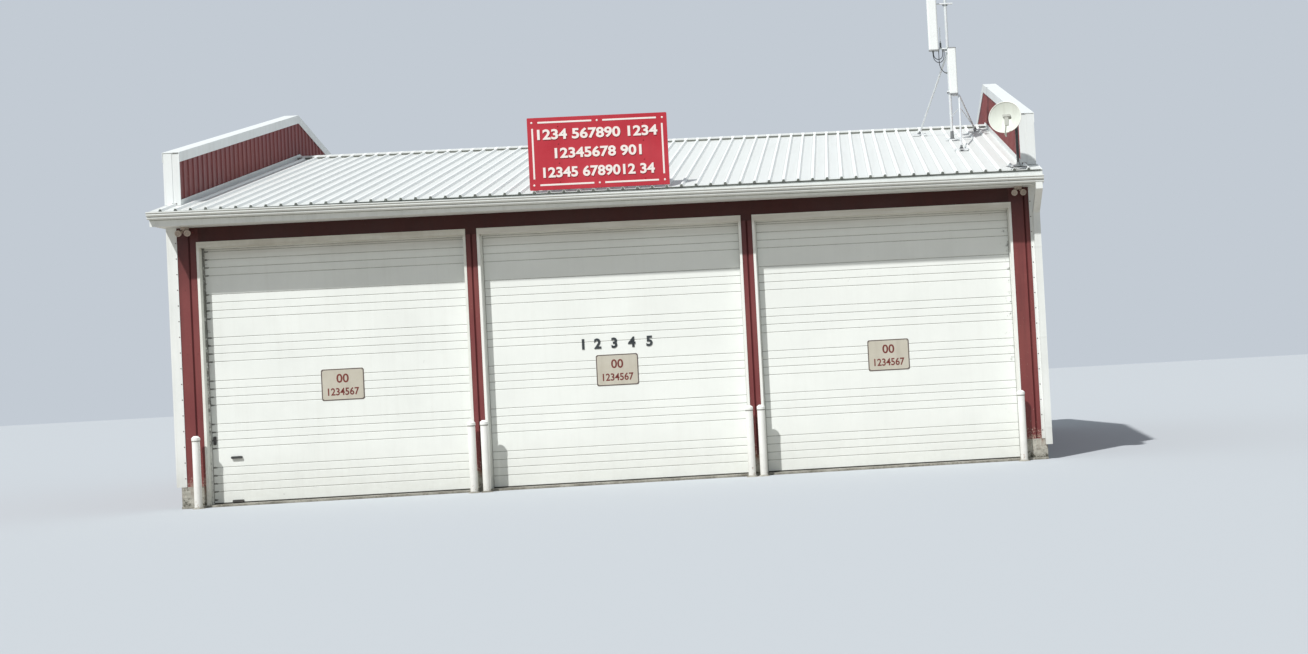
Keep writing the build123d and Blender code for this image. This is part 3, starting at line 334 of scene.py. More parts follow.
# painted shade: the red darkens towards the eave
eave_shade = add(
    tree, "ShaderNodeMapRange", {"Value": place["Z"], "From Min": 2.95, "From Max": 3.75, "To Max": 0.78}
)
layers.append((eave_shade, eave_shade_red))
tone = shader.inputs["Base Color"].links[0].from_socket
for mask, colour in layers:
    tone = add(tree, "ShaderNodeMix", {0: mask, 6: tone, 7: linear(colour)}, data_type="RGBA")
fill(shader, {"Base Color": tone})
dress(column_red_with_painted_shade, "door_columns", "corner_panels")
dress(
    red_paint, "end_wall_right", "end_wall_left", "end_siding_right", "end_siding_left",
    "parapet_lining_right", "parapet_lining_left", "rear_wall", "rear_siding",
)
dress(header_shade_red, "front_header")


# Siding screws: painted hexagon heads on a thin washer, one in every pan beside its rib, in level
# rows 0.9 m apart where the girts run behind the sheet, and one row close to the foot.
def piece(name, corners, faces, finish, slot):
    """Puts corners, an array of points in metres, and faces into a mesh with one finish; it rides on the
    building's only body."""
    mesh = bpy.data.meshes.new(name)
    points = np.asarray(corners).reshape(-1, 3).tolist()
    mesh.from_pydata(points, [], [list(map(int, face)) for face in faces])
    mesh.materials.append(finish)
    made = bpy.data.objects.new(name, mesh)
    scene.collection.objects.link(made)
    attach(made, "root")
    return made


def turned(profile, around):
    """A turned shape: a profile of (radius, height) pairs carried round the z axis in `around` steps; where
    the radius is zero the ring closes in a point. Gives corners and quads."""
    profile = np.asarray(profile, float)
    angles = np.arange(around) * 2 * math.pi / around
    ring = np.stack([np.cos(angles), np.sin(angles), np.zeros(around)], 1)
    corners = profile[:, 0, None, None] * ring[None] + profile[:, 1, None, None] * np.array([0, 0, 1.0])
    index = np.arange(len(profile) * around).reshape(len(profile), around)
    after = np.roll(index, -1, axis=1)
    quads = np.stack([index[:-1], after[:-1], after[1:], index[1:]], -1).reshape(-1, 4)
    return corners.reshape(-1, 3), quads


def facing(direction):
    """The turn that lays the z axis along a direction, with x level, as three columns."""
    upwards = (0, 0, 1)
    along = np.asarray(direction, float) / np.linalg.norm(direction)
    side = np.cross(upwards, along)
    side = side / np.linalg.norm(side) if np.linalg.norm(side) > 1e-6 else np.array([1.0, 0, 0])
    return np.stack([side, np.cross(along, side), along], 1)


def placed(shape, direction, places):
    """Copies of a shape at many places, all facing one way: its corners are turned once and shifted by every
    place, and the faces of copy n count on from its first corner."""
    corners, quads = shape
    places = np.asarray(places, float).reshape(-1, 3)
    points = places[:, None, :] + (corners @ facing(direction).T)[None]
    faces = quads[None] + len(corners) * np.arange(len(places))[:, None, None]
    return points.reshape(-1, 3), faces.reshape(-1, quads.shape[1])


def joined(shapes):
    """Several shapes as one: corners in a row, and each shape's faces count on from its first corner."""
    starts = np.cumsum([0] + [len(corners) for corners, faces in shapes[:-1]])
    return np.concatenate([corners for corners, faces in shapes]), np.concatenate(
        [faces + start for start, (corners, faces) in zip(starts, shapes)]
    )


def finished(name, shape, finish, slot, crease=32):
    """A piece from a shape: corners that lie on each other are merged, faces turned outwards, and edges
    sharper than the crease angle, in degrees, kept sharp."""
    made = piece(name, *shape, finish, slot)
    worked = bmesh.new()
    worked.from_mesh(made.data)
    bmesh.ops.remove_doubles(worked, verts=worked.verts, dist=1e-6)  # a micrometre
    bmesh.ops.dissolve_degenerate(worked, edges=worked.edges, dist=1e-7)
    bmesh.ops.recalc_face_normals(worked, faces=worked.faces)
    worked.to_mesh(made.data)
    worked.free()
    made.data.shade_smooth()
    made.data.set_sharp_from_angle(angle=math.radians(crease))
    return made


front_y, pan_x, pan_y, wall_half = -5.248, 6.129, 5.228, 6.124
siding_pitch, first_siding_rib = 0.1829, 0.078
screw_share = 0.36  # of a pitch, from a rib to its screw
ridge_height, roof_fall, parapet_rise, coping_skirt = 5.5646, 0.25, 0.752, 0.2
screw_rows = np.array([0.36, 1.26, 2.16, 3.06, 3.86])
gable_rows = np.concatenate([screw_rows, [4.76, 5.66]])
screw = turned([(0, 0), (0.0085, 0), (0.0085, 0.0015), (0.0048, 0.0022), (0.0044, 0.0062), (0, 0.0066)], 6)
end_ys = front_y + first_siding_rib + siding_pitch * (np.arange(56) + screw_share)
rear_xs = -wall_half + first_siding_rib + siding_pitch * (np.arange(66) + screw_share)
end_grid = np.array([(y, z) for y in end_ys for z in gable_rows])
coping_foot = ridge_height - roof_fall * abs(end_grid[:, 0]) + parapet_rise - coping_skirt
end_grid = end_grid[end_grid[:, 1] < coping_foot]
column_xs = [side * column_x + off for side in (-1, 1) for off in (-0.055, 0.055)]
corner_xs, head_reach = [-5.79, -5.93, 5.80, 5.98], 5.6
head_xs = np.arange(-head_reach, head_reach + 0.01, 2 * siding_pitch)
finished(
    "siding_screws",
    joined([
        placed(screw, (1, 0, 0), [(pan_x, y, z) for y, z in end_grid]),
        placed(screw, (-1, 0, 0), [(-pan_x, y, z) for y, z in end_grid]),
        placed(screw, (0, 1, 0), [(x, pan_y, z) for x in rear_xs for z in screw_rows]),
        placed(screw, (0, -1, 0), [(x, front_y, z) for x in column_xs for z in screw_rows[:4]]),
        placed(screw, (0, -1, 0), [(x, front_y, z) for x in corner_xs for z in screw_rows]),
    ]),
    red_paint, "red_sheet",
)
head_places = [(x, front_y, screw_rows[-1]) for x in head_xs]
finished("header_screws", placed(screw, (0, -1, 0), head_places), header_shade_red, "red_sheet")


# White sheet: the same coil-coated steel in white, folded on a brake into coping, end caps,
# flashings and corner and door trims, with a doubled hem along each inner edge. It has gone
# slightly grey; the door heads turn darker and browner towards their top, and the left trim is the grubbiest.
white_sheet = weathered_paint(
    "white_coil_coated_steel", "#EAEEEE", "#E2E6E6", "#B4B2AA",
    streaks=0.22, splash=0.5, gloss=0.42, specks=0.06,
)
white_trim = weathered_paint(
    "white_folded_trim", "#EDF0EE", "#E4E8E6", "#8F8C83",
    patch=2.2, streaks=0.15, splash=0.8, gloss=0.42, specks=0.3,
)
head_toning = (3.55, 3.65, "#A39680", 0.5)
jamb_trim = weathered_paint(
    "white_door_trim", "#F4F6F2", "#EEF0EC", "#ABA89F",
    patch=3.5, streaks=0.05, splash=0.35, gloss=0.42, specks=0.04, toning=head_toning,
)
grubby_trim = weathered_paint(
    "grubby_white_door_trim", "#EEF0EA", "#E2E4DD", "#98958C",
    patch=6.0, streaks=0.12, splash=0.5, gloss=0.45, specks=0.8, toning=head_toning,
)
dress(white_sheet, "coping_right", "coping_left", "parapet_caps", "roof_flashings")
dress(white_trim, "corner_trims", "soffits", "fascias", "eave_end_boards")
dress(grubby_trim, "door_trim_1")
dress(jamb_trim, "door_trim_2", "door_trim_3")


def boxes(lows, highs):
    """Square bars, one for each pair of lowest and highest corner: corner k of a bar takes low or high in x,
    y and z by the bits of k."""
    lows, highs = np.asarray(lows, float).reshape(-1, 3), np.asarray(highs, float).reshape(-1, 3)
    bits = np.array([[k & 1, k >> 1 & 1, k >> 2 & 1] for k in range(8)])
    corners = lows[:, None, :] + bits[None] * (highs - lows)[:, None, :]
    sides = np.array([[0, 2, 3, 1], [4, 5, 7, 6], [0, 1, 5, 4], [2, 6, 7, 3], [0, 4, 6, 2], [1, 3, 7, 5]])
    return corners.reshape(-1, 3), (sides[None] + 8 * np.arange(len(lows))[:, None, None]).reshape(-1, 4)


def bars(name, lows, highs, finish, slot, edge=0.0):
    """A piece of square bars; edge is the width of their rounded arrises."""
    made = piece(name, *boxes(lows, highs), finish, slot)
    if edge:
        rounding = made.modifiers.new("arrises", "BEVEL")
        rounding.width = edge
        rounding.segments = 2
    return made


trim_face, trim_inner_x, trim_foot, trim_head = front_y - 0.006, 6.011, 0.300, 3.9296
hem, hem_arris = 0.006, 0.0015
hem_lows, hem_highs = [], []
for near in (trim_face - hem / 2, -trim_face):
    for x in (trim_inner_x, -trim_inner_x - hem):
        hem_lows.append((x, near, trim_foot))
        hem_highs.append((x + hem, near + hem / 2, trim_head))
bars("trim_hems", hem_lows, hem_highs, white_sheet, "white_trim", hem_arris)
rivet_in, rivet_pitch = 0.016, 0.22
rivet_rows = np.arange(0.42, 3.80, rivet_pitch)
rivet_xs = (-trim_inner_x - rivet_in, trim_inner_x + rivet_in)
rusty_rivet = weathered_paint(
    "rusting_steel_rivet", "#5A4A42", "#4A3C36", "#3A2E28", patch=9.0, splash=0.2, gloss=0.7
)
finished(
    "trim_rivets",
    joined([
        placed(screw, (0, side, 0), [(x, -side * trim_face, z) for x in rivet_xs for z in rivet_rows])
        for side in (-1, 1)
    ]),
    rusty_rivet, "dark_steel",
)
dark_hollow = weathered_paint(
    "shaded_hollow_behind_sheet", "#5E5D57", "#6A6862", "#45433D", splash=0.0, gloss=0.8
)
cap_x, cap_front, cap_top = 5.974, front_y - 0.014, 5.0036
hollow, hollow_drop = np.array([0.042, 0.0008, 0.008]), 0.012  # half its width, thickness and height
hollow_places = [
    np.array([side * cap_x, y, cap_top - hollow_drop]) for side in (-1, 1) for y in (cap_front, -cap_front)
]
bars(
    "cap_hollows", [place - hollow for place in hollow_places], [place + hollow for place in hollow_places],
    dark_hollow, "dark_steel",
)


# Sectional doors: six sections of embossed steel in white baked enamel, each pressed with four
# grooves 16 mm wide. Grey strips in the grooves are painted shade, darker towards the foot, and the
# left door has black mould where it meets its damp jamb, the right one a few spots at its far edge.
door_paint = weathered_paint(
    "white_baked_enamel_door", "#F2F6F3", "#ECF0ED", "#BDBAB0",
    patch=1.3, streaks=0.05, splash=0.35, gloss=0.36, specks=0.04, toning=(3.42, 3.62, "#ABA396", 0.4),
)
mouldy_door_paint = weathered_paint(
    "mouldy_white_baked_enamel_door", "#F0F4F1", "#E9EDEA", "#B6B3A9",
    patch=1.3, streaks=0.07, splash=0.4, gloss=0.36, specks=0.06,
    mould=(-5.75, 0.12, 0.26), toning=(3.42, 3.62, "#A79D90", 0.45),
)
spotted_door_paint = weathered_paint(
    "spotted_white_baked_enamel_door", "#F2F6F3", "#ECF0ED", "#BDBAB0",
    patch=1.3, streaks=0.05, splash=0.35, gloss=0.36, specks=0.04,
    mould=(5.72, -0.19, 0.2), toning=(3.42, 3.62, "#ABA396", 0.4),
)
dress(mouldy_door_paint, "sectional_door_1")
dress(door_paint, "sectional_door_2")
dress(spotted_door_paint, "sectional_door_3")
doors = [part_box(f"sectional_door_{number}") for number in (1, 2, 3)]
door_face, slab_top = doors[0][0][1:]
door_lap = 0.032
section_height, first_groove, groove_pitch = 0.6096, 0.174, 0.1136

# Mould also sits in the grooves of the left door, close to its jamb: the height is folded back to one section
# and then to one groove, and the growth, in blots of 32 mm, keeps to the middle third of that.
tree = mouldy_door_paint.node_tree
shader = tree.nodes["Principled BSDF"]
below = shader.inputs["Base Color"].links[0].from_socket
where = add(tree, "ShaderNodeTexCoord").outputs["Object"]
place = add(tree, "ShaderNodeSeparateXYZ", {0: where}).outputs
blots = add(tree, "ShaderNodeTexNoise", {"Vector": where, "Scale": 31.0, "Detail": 4.0, "Roughness": 0.6})
fold_foot = slab_top + first_groove - groove_pitch / 2
rise = add(tree, "ShaderNodeMath", {0: place["Z"], 1: fold_foot}, operation="SUBTRACT")
rise = add(tree, "ShaderNodeMath", {0: rise, 1: section_height}, operation="MODULO")
four = add(tree, "ShaderNodeMath", {0: rise, 1: 4 * groove_pitch}, operation="LESS_THAN")
rise = add(tree, "ShaderNodeMath", {0: rise, 1: groove_pitch}, operation="DIVIDE")
rise = add(tree, "ShaderNodeMath", {0: rise}, operation="FRACT")
away = distance_from(tree, 0.5, rise)
in_groove = add(tree, "ShaderNodeMapRange", {"Value": away, "From Min": 0.16, "From Max": 0.06})
in_groove = add(tree, "ShaderNodeMath", {0: in_groove, 1: four}, operation="MULTIPLY")
jamb_x, mould_x = -5.67, -5.605
at_edge = add(
    tree, "ShaderNodeMapRange", {"Value": place["X"], "From Min": mould_x, "From Max": jamb_x, "To Max": 0.6}
)
growth = add(tree, "ShaderNodeMath", {0: in_groove, 1: at_edge}, operation="MULTIPLY")
growth = add(tree, "ShaderNodeMath", {0: growth, 1: blots}, operation="ADD")
black = add(tree, "ShaderNodeMapRange", {"Value": growth, "From Min": 0.82, "From Max": 0.94, "To Max": 0.85})
tone = add(tree, "ShaderNodeMix", {0: black, 6: below, 7: linear("#3C3E38")}, data_type="RGBA")
fill(shader, {"Base Color": tone})

groove_depth, groove_shade = 0.0081, 0.0033
shade_front, shade_back = door_face + 0.58 * groove_depth, door_face + 0.66 * groove_depth
grooves = [
    slab_top + section * section_height + first_groove + groove * groove_pitch
    for section in range(6) for groove in range(4)
]
# The strips at the bottom of the grooves are painted shade, grey and darker towards the foot.
groove_shade_paint = weathered_paint(
    "grey_painted_groove_shade", "#9C9D98", "#B4B6B2", "#7F7F79",
    patch=4.0, streaks=0.4, splash=0.4, gloss=0.85, specks=0.25,
)
bars(
    "groove_shade",
    [(low[0] + door_lap, shade_front, z - groove_shade) for low, high in doors for z in grooves],
    [(high[0] - door_lap, shade_back, z + groove_shade) for low, high in doors for z in grooves],
    groove_shade_paint, "grey_plastic",
)


# Door stops and seals: white extruded PVC nailed to the jambs and the head, each with a grey lip that
# wipes the door's face, and under each door a black rubber strip squeezed against the slab.
opening_half, opening_top = 1.829, 3.6376
stop_width, stop_depth, stop_clear = 0.012, 0.044, 0.010
lip_width, lip_start, lip_gap, end_gap, small_arris = 0.017, 0.002, 0.001, 0.002, 0.002
lip_foot = slab_top + 0.004
stop_front, stop_back = door_face - stop_clear - stop_depth, door_face - stop_clear
stop_lows, stop_highs, lip_lows, lip_highs = [], [], [], []
for low, high in doors:
    middle = (low[0] + high[0]) / 2
    for edge, inner in ((middle - opening_half, 1), (middle + opening_half, -1)):
        near, far = sorted((edge, edge + inner * stop_width))
        stop_lows.append((near, stop_front, slab_top))
        stop_highs.append((far, stop_back, opening_top))
        near, far = sorted((edge + inner * lip_start, edge + inner * lip_width))
        lip_lows.append((near, stop_back, lip_foot))
        lip_highs.append((far, door_face - lip_gap, opening_top - end_gap))
    stop_lows.append((middle - opening_half, stop_front, opening_top - stop_width))
    stop_highs.append((middle + opening_half, stop_back, opening_top))
    lip_lows.append((middle - opening_half, stop_back, opening_top - lip_width))
    lip_highs.append((middle + opening_half, door_face - lip_gap, opening_top - end_gap))
stop_pvc = weathered_paint(
    "white_pvc_stop", "#E9EBE7", "#DEE0DB", "#8E8B82",
    patch=3.0, streaks=0.2, splash=0.5, gloss=0.5, specks=0.3, mould=(-5.70, 0.06, 0.36),
)
lip_vinyl = weathered_paint(
    "grey_vinyl_lip", "#8E8F8A", "#A5A6A1", "#57564F",
    patch=4.0, streaks=0.6, splash=0.4, gloss=0.6, specks=0.3, mould=(-5.69, 0.06, 0.24),
)
rubber = weathered_paint(
    "black_door_rubber", "#1D1D1C", "#2A2927", "#5A554C", streaks=0.1, splash=0.7, gloss=0.7
)
bars("door_stops", stop_lows, stop_highs, stop_pvc, "white_trim", small_arris)
bars("door_lips", lip_lows, lip_highs, lip_vinyl, "grey_plastic", small_arris)
seal_depth, seal_height, seal_arris = 0.006, 0.018, 0.0015
bars(
    "door_seals",
    [(low[0] + door_lap, door_face - seal_depth, slab_top) for low, high in doors],
    [(high[0] - door_lap, door_face, slab_top + seal_height) for low, high in doors],
    rubber, "dark_steel", seal_arris,
)


# Door plates: aluminium sheet painted buff, screen-printed with a dark line close to its rounded edge
# and two rows of plain brown-red figures. One hangs on each door, on four round-headed screws.
def rounded_frame(width, height, corner, inset, steps=8):
    """A rectangle's outline with round corners, counter-clockwise from the right: each corner is an arc of
    `steps` points about a centre that lies corner + inset inside the edge."""
    turns = np.linspace(0, math.pi / 2, steps)
    radius = max(corner - inset, 0.001)
    outline = []
    for quarter, (sx, sz) in enumerate(((1, 1), (-1, 1), (-1, -1), (1, -1))):
        angles = turns + quarter * math.pi / 2
        centre = np.array([sx * (width / 2 - inset - radius), sz * (height / 2 - inset - radius)])
        outline.append(centre + radius * np.stack([np.cos(angles), np.sin(angles)], 1))
    return np.concatenate(outline)


def drawn_out(name, outline, across, upwards, along, places, depth, finish, slot):
    """Straight lengths of one section: each point (u, v) of the outline goes to u across + v upwards from a
    place, once there and once a depth further along; the two rings are joined by quads and closed by one face
    each."""
    outline = np.asarray(outline, float)
    across, upwards, along = (np.asarray(axis, float) for axis in (across, upwards, along))
    count = len(outline)
    ring = outline[:, :1] * across + outline[:, 1:] * upwards
    shape = np.concatenate([ring, ring + depth * along])
    corners = np.asarray(places, float).reshape(-1, 1, 3) + shape[None]
    step = np.arange(count)
    after = (step + 1) % count
    sides = np.stack([step, after, count + after, count + step], 1).tolist()
    sides += [list(step[::-1]), list(count + step)]
    if np.dot(np.cross(across, upwards), along) < 0:
        sides = [face[::-1] for face in sides]
    faces = [[2 * count * copy + corner for corner in face] for copy in range(len(corners)) for face in sides]
    return piece(name, corners, faces, finish, slot)


def line_frame(name, places, face_y, stand, width, height, corner, inset, line, finish, slot):
    """A raised line that follows a plate's outline: the band between the outline moved in by inset and by
    inset + line, joined at the plate's face by its two edges."""
    outer = rounded_frame(width, height, corner, inset)
    inner = rounded_frame(width, height, corner, inset + line)
    count = len(outer)
    step = np.arange(count)
    after = (step + 1) % count
    corners, faces = [], []
    for x, z in places:
        start = len(corners) * count
        rings = [(outer, face_y), (outer, face_y - stand), (inner, face_y - stand), (inner, face_y)]
        for ring, y in rings:
            corners.append(np.column_stack([ring[:, 0] + x, np.full(count, y), ring[:, 1] + z]))
        for band in range(3):
            a, b = start + band * count, start + (band + 1) * count
            faces += np.stack([a + step, a + after, b + after, b + step], 1).tolist()
    return piece(name, np.concatenate(corners), faces, finish, slot)


def figures(name, rows, face_y, stand, finish, slot, weight=0.02):
    """Plain figures cut from sheet. Each row is its text, the middle's x and z, and the height and width that
    its outline is stretched to; a width of zero keeps the outline's own shape. y of the outline becomes z,
    and its thickness runs out from the face."""
    corners, faces, start = [], [], 0
    for text, x, z, height, width in rows:
        outline = bpy.data.curves.new(name, "FONT")
        outline.body = text
        outline.extrude = 0.5
        outline.offset = weight
        outline.resolution_u = 4
        holder = bpy.data.objects.new(name, outline)
        scene.collection.objects.link(holder)
        evaluated = holder.evaluated_get(bpy.context.evaluated_depsgraph_get())
        solid = bpy.data.meshes.new_from_object(evaluated)
        points = np.empty(len(solid.vertices) * 3)
        solid.vertices.foreach_get("co", points)
        points = points.reshape(-1, 3)
        low, high = points.min(0), points.max(0)
        width = width or height * (high[0] - low[0]) / (high[1] - low[1])
        unit = (points - low) / (high - low)
        across, up = (unit[:, 0] - 0.5) * width, (unit[:, 1] - 0.5) * height
        corners.append(np.column_stack([x + across, face_y - unit[:, 2] * stand, z + up]))
        faces += [[start + v for v in polygon.vertices] for polygon in solid.polygons]
        start += len(points)
        bpy.data.objects.remove(holder)
        bpy.data.meshes.remove(solid)
    return piece(name, np.concatenate(corners), faces, finish, slot)


plate_paint = weathered_paint(
    "buff_painted_aluminium", "#C9C5B8", "#C1BCAE", "#958E80",
    patch=5.0, streaks=0.25, splash=0.0, gloss=0.4, specks=0.2,
)
plate_line = weathered_paint(
    "brown_grey_screen_ink", "#5A4F4C", "#635855", "#4A413D", patch=6.0, streaks=0.1, splash=0.0, gloss=0.5
)
plate_ink = weathered_paint(
    "brown_red_screen_ink", "#6E2E29", "#79382F", "#5A3A32", patch=6.0, streaks=0.1, splash=0.0, gloss=0.45
)
plate_places = [(-3.860, 1.621), (-0.002, 1.617), (3.878, 1.619)]
plate_width, plate_height, plate_corner, plate_sheet = 0.598, 0.447, 0.03, 0.003
plate_front = door_face - plate_sheet
drawn_out(
    "plates", rounded_frame(plate_width, plate_height, plate_corner, 0.0), (1, 0, 0), (0, 0, 1), (0, -1, 0),
    [(x, door_face, z) for x, z in plate_places], plate_sheet, plate_paint, "white_trim",
)
line_stand, line_inset, line_width = 0.0006, 0.001, 0.014
line_frame(
    "plate_lines", plate_places, plate_front, line_stand, plate_width, plate_height, plate_corner,
    line_inset, line_width, plate_line, "dark_steel",
)
ink_stand = 0.0008
plate_rows = []
for x, z in plate_places:
    plate_rows += [("00", x, z + 0.087, 0.128, 0.172), ("1234567", x + 0.006, z - 0.101, 0.108, 0.437)]
figures("plate_figures", plate_rows, plate_front, ink_stand, plate_ink, "red_sheet")
screw_in = 0.024
round_head = turned([(0, 0), (0.0055, 0), (0.0052, 0.0018), (0.0035, 0.0032), (0, 0.0037)], 10)
finished(
    "plate_screws",
    placed(round_head, (0, -1, 0), [
        (x + side * (plate_width / 2 - screw_in), plate_front, z + up * (plate_height / 2 - screw_in))
        for x, z in plate_places for side in (-1, 1) for up in (-1, 1)
    ]),
    plate_line, "dark_steel",
)


# House figures over the middle plate: five plain figures cast in dark metal, pinned to the door at the
# spacing of the real ones and a little heavier in line than those of the plates.
figure_dark = weathered_paint(
    "dark_cast_figures", "#30363A", "#3B4145", "#55504A", patch=5.0, streaks=0.1, splash=0.0, gloss=0.4
)
figure_xs = (-0.469, -0.264, -0.028, 0.219, 0.470)
figure_middle, figure_height, figure_stand = 2.004, 0.150, 0.008
figures(
    "door_figures",
    [(digit, x, figure_middle, figure_height, 0.0) for x, digit in zip(figure_xs, "12345")],
    door_face, figure_stand, figure_dark, "dark_steel", weight=0.035,
)


# Door hardware on the left door: a lift handle, a foot plate and a lock bar, folded from steel sheet
# and plated dark. The posts of the roof sign have the same finish.
dark_steel = weathered_paint(
    "dark_plated_steel", "#3A3B3C", "#4B4C4C", "#5C4A3A", patch=8.0, streaks=0.2, splash=0.2, gloss=0.35
)
dress(dark_steel, "door_hardware", "sign_posts")


# Roof sheets and ridge cap: ribbed white steel, laid with the fall of the roof and screwed beside the
# ribs. Rain carries the dirt straight down the pans, so the streaks run along the slope. The pans are
# painted darker beside each rib's foot, a painted shadow, and the ribs lighter, a painted highlight.
rib_pitch, rib_base, rib_rise, first_rib_x = 0.2032, 0.062, 0.030, -6.012
roof_paint, tree, where = new_finish("white_roofing_steel")
# scales in cells per metre: runs 62 mm apart and 1.8 m long, clouds of 1.8 m
drawn = add(tree, "ShaderNodeMapping", {"Vector": where, "Scale": (16.0, 0.55, 1.0)})
runs = add(tree, "ShaderNodeTexNoise", {"Vector": drawn, "Scale": 1.0, "Detail": 6.0, "Roughness": 0.62})
clouds = add(tree, "ShaderNodeTexNoise", {"Vector": where, "Scale": 0.55, "Detail": 6.0, "Roughness": 0.6})
streaked = add(tree, "ShaderNodeMapRange", {"Value": runs, "From Min": 0.5, "From Max": 0.85, "To Max": 0.25})
place = add(tree, "ShaderNodeSeparateXYZ", {0: where}).outputs
# how far a point lies from the nearest rib's middle, in pitches; a rib's foot reaches to 0.15
from_rib = add(
    tree, "ShaderNodeMath", {0: place["X"], 1: 1 / rib_pitch, 2: 0.5 - first_rib_x / rib_pitch},
    operation="MULTIPLY_ADD",
)
from_rib = add(tree, "ShaderNodeMath", {0: from_rib}, operation="FRACT")
from_rib = distance_from(tree, 0.5, from_rib)
# painted shadow: the pan beside each rib's foot is darker
rib_foot_shadow = add(
    tree, "ShaderNodeMapRange", {"Value": from_rib, "From Min": 0.215, "From Max": 0.165, "To Max": 0.5}
)
off_rib = add(tree, "ShaderNodeMath", {0: from_rib, 1: 0.145}, operation="GREATER_THAN")
rib_foot_shadow = add(tree, "ShaderNodeMath", {0: rib_foot_shadow, 1: off_rib}, operation="MULTIPLY")
# painted highlight: the rib itself is lighter than the pans
washed = add(
    tree, "ShaderNodeMapRange", {"Value": from_rib, "From Min": 0.16, "From Max": 0.14, "To Max": 0.85}
)
tone = add(tree, "ShaderNodeMix", {0: clouds, 6: linear("#D2D5D3"), 7: linear("#DDE0DF")}, data_type="RGBA")
for mask, colour in ((streaked, "#B4B3AA"), (rib_foot_shadow, "#9B9E9C"), (washed, "#F3F6F5")):
    tone = add(tree, "ShaderNodeMix", {0: mask, 6: tone, 7: linear(colour)}, data_type="RGBA")
bump = add(tree, "ShaderNodeBump", {"Height": clouds, "Strength": 0.2, "Distance": 0.01})
fill(tree.nodes["Principled BSDF"], {"Base Color": tone, "Roughness": 0.48, "Normal": bump})
dress(roof_paint, "roof_sheet_front", "roof_sheet_rear", "ridge_cap")


def pan_height(y, above=0.0):
    """Height of the roof pans at a place y: the ridge less the fall times the distance from it."""
    return ridge_height - roof_fall * abs(y) + above


slope = math.atan(roof_fall)
rib_angle = math.radians(60)
rib_crest = rib_base - 2 * rib_rise / math.tan(rib_angle)
rib_xs = first_rib_x + rib_pitch * np.arange(60)
first_row, row_pitch, screw_off = -0.32, 0.76, 0.043
roof_rows = first_row - row_pitch * np.arange(8)
roof_ups = [(0, -math.sin(slope), math.cos(slope)), (0, math.sin(slope), math.cos(slope))]
beside_ribs = [x for x in rib_xs + screw_off if abs(x) < 5.9]
finished(
    "roof_screws",
    joined([
        placed(screw, up, [(x, side * y, pan_height(y)) for x in beside_ribs for y in roof_rows])
        for side, up in zip((1, -1), roof_ups)
    ]),
    roof_paint, "white_roof",
)


# Foam closures: dusty grey strips shaped to the sheet, pushed under its edge at the eaves, where they
# also show in the open end of every rib, and between the ribs below the ridge cap. At the eaves their
# grey, flush with the sheet's edge, also stands for the shade in the gap, a painted shade.
# At the eaves this grey is partly real foam and partly painted shade of the gap under the sheet's edge.
foam_and_gap_shade = weathered_paint(
    "closure_foam_with_painted_gap_shade", "#6C706C", "#7F837D", "#54544D", splash=0.0, gloss=0.9
)
grey_foam = weathered_paint(
    "grey_closure_foam", "#6C6F69", "#7B7E77", "#4B4C46", patch=4.0, splash=0.0, gloss=0.9
)
eave_y, half_roof = -5.773, 6.172
sheet_edge, rib_wall = 0.006, 0.0028
mouth_foot, mouth_crest = rib_base / 2 - 2 * rib_wall, rib_crest / 2 - rib_wall / 2
rib_mouth = [
    (-mouth_foot, -sheet_edge), (mouth_foot, -sheet_edge),
    (mouth_crest, rib_rise - rib_wall), (-mouth_crest, rib_rise - rib_wall),
]
strip_half, strip_foot, strip_depth, strip_in = half_roof - 0.03, -0.024, 0.010, 0.016
strip = [
    (-strip_half, strip_foot), (strip_half, strip_foot), (strip_half, -sheet_edge), (-strip_half, -sheet_edge)
]
plug_out, plug_depth = 0.0002, 0.001
for name, side, up in zip(("front", "rear"), (1, -1), roof_ups):
    down = np.array([0, -side * math.cos(slope), -math.sin(slope)])
    edge = np.array([0, side * eave_y, pan_height(eave_y)])
    drawn_out(
        f"eave_foam_{name}", rib_mouth, (1, 0, 0), up, down,
        [edge + (x, 0, 0) + plug_out * down for x in rib_xs], plug_depth, foam_and_gap_shade, "dark_steel",
    )
    drawn_out(
        f"eave_strip_{name}", strip, (1, 0, 0), up, down,
        [edge - strip_in * down], strip_depth, foam_and_gap_shade, "dark_steel",
    )
gap_xs = [x for x in (rib_xs[:-1] + rib_xs[1:]) / 2 if abs(x) < 5.83]
wide, narrow = rib_pitch / 2 - rib_base / 2, rib_pitch / 2 - rib_crest / 2
gap_outline = [(-wide, 0.0), (wide, 0.0), (narrow, rib_rise), (-narrow, rib_rise)]
foam_reach, foam_depth = 0.164, 0.020  # 6 mm inside the edge of the ridge cap
for name, side, up in zip(("ridge_foam", "ridge_foam_rear"), (1, -1), roof_ups):
    drawn_out(
        name, gap_outline, (1, 0, 0), up, (0, side * math.cos(slope), math.sin(slope)),
        [(x, -side * foam_reach, pan_height(foam_reach)) for x in gap_xs],
        foam_depth, grey_foam, "grey_plastic",
    )


# Roof deck: softwood boarding under the sheets, sawn and left bare. It is seen only from inside the
# bays, so it has little more than its grain, lines 38 mm apart along the boards.
deck, tree, where = new_finish("sawn_fir_boards")
grain = add(tree, "ShaderNodeMapping", {"Vector": where, "Scale": (0.8, 26.0, 26.0)})
lines = add(tree, "ShaderNodeTexNoise", {"Vector": grain, "Scale": 1.0, "Detail": 6.0, "Roughness": 0.65})
tone = add(tree, "ShaderNodeMix", {0: lines, 6: linear("#7A5E3E"), 7: linear("#B99A6C")}, data_type="RGBA")
bump = add(tree, "ShaderNodeBump", {"Height": lines, "Strength": 0.4, "Distance": 0.003})
fill(tree.nodes["Principled BSDF"], {"Base Color": tone, "Roughness": 0.75, "Normal": bump})
dress(deck, "roof_deck_front", "roof_deck_rear")


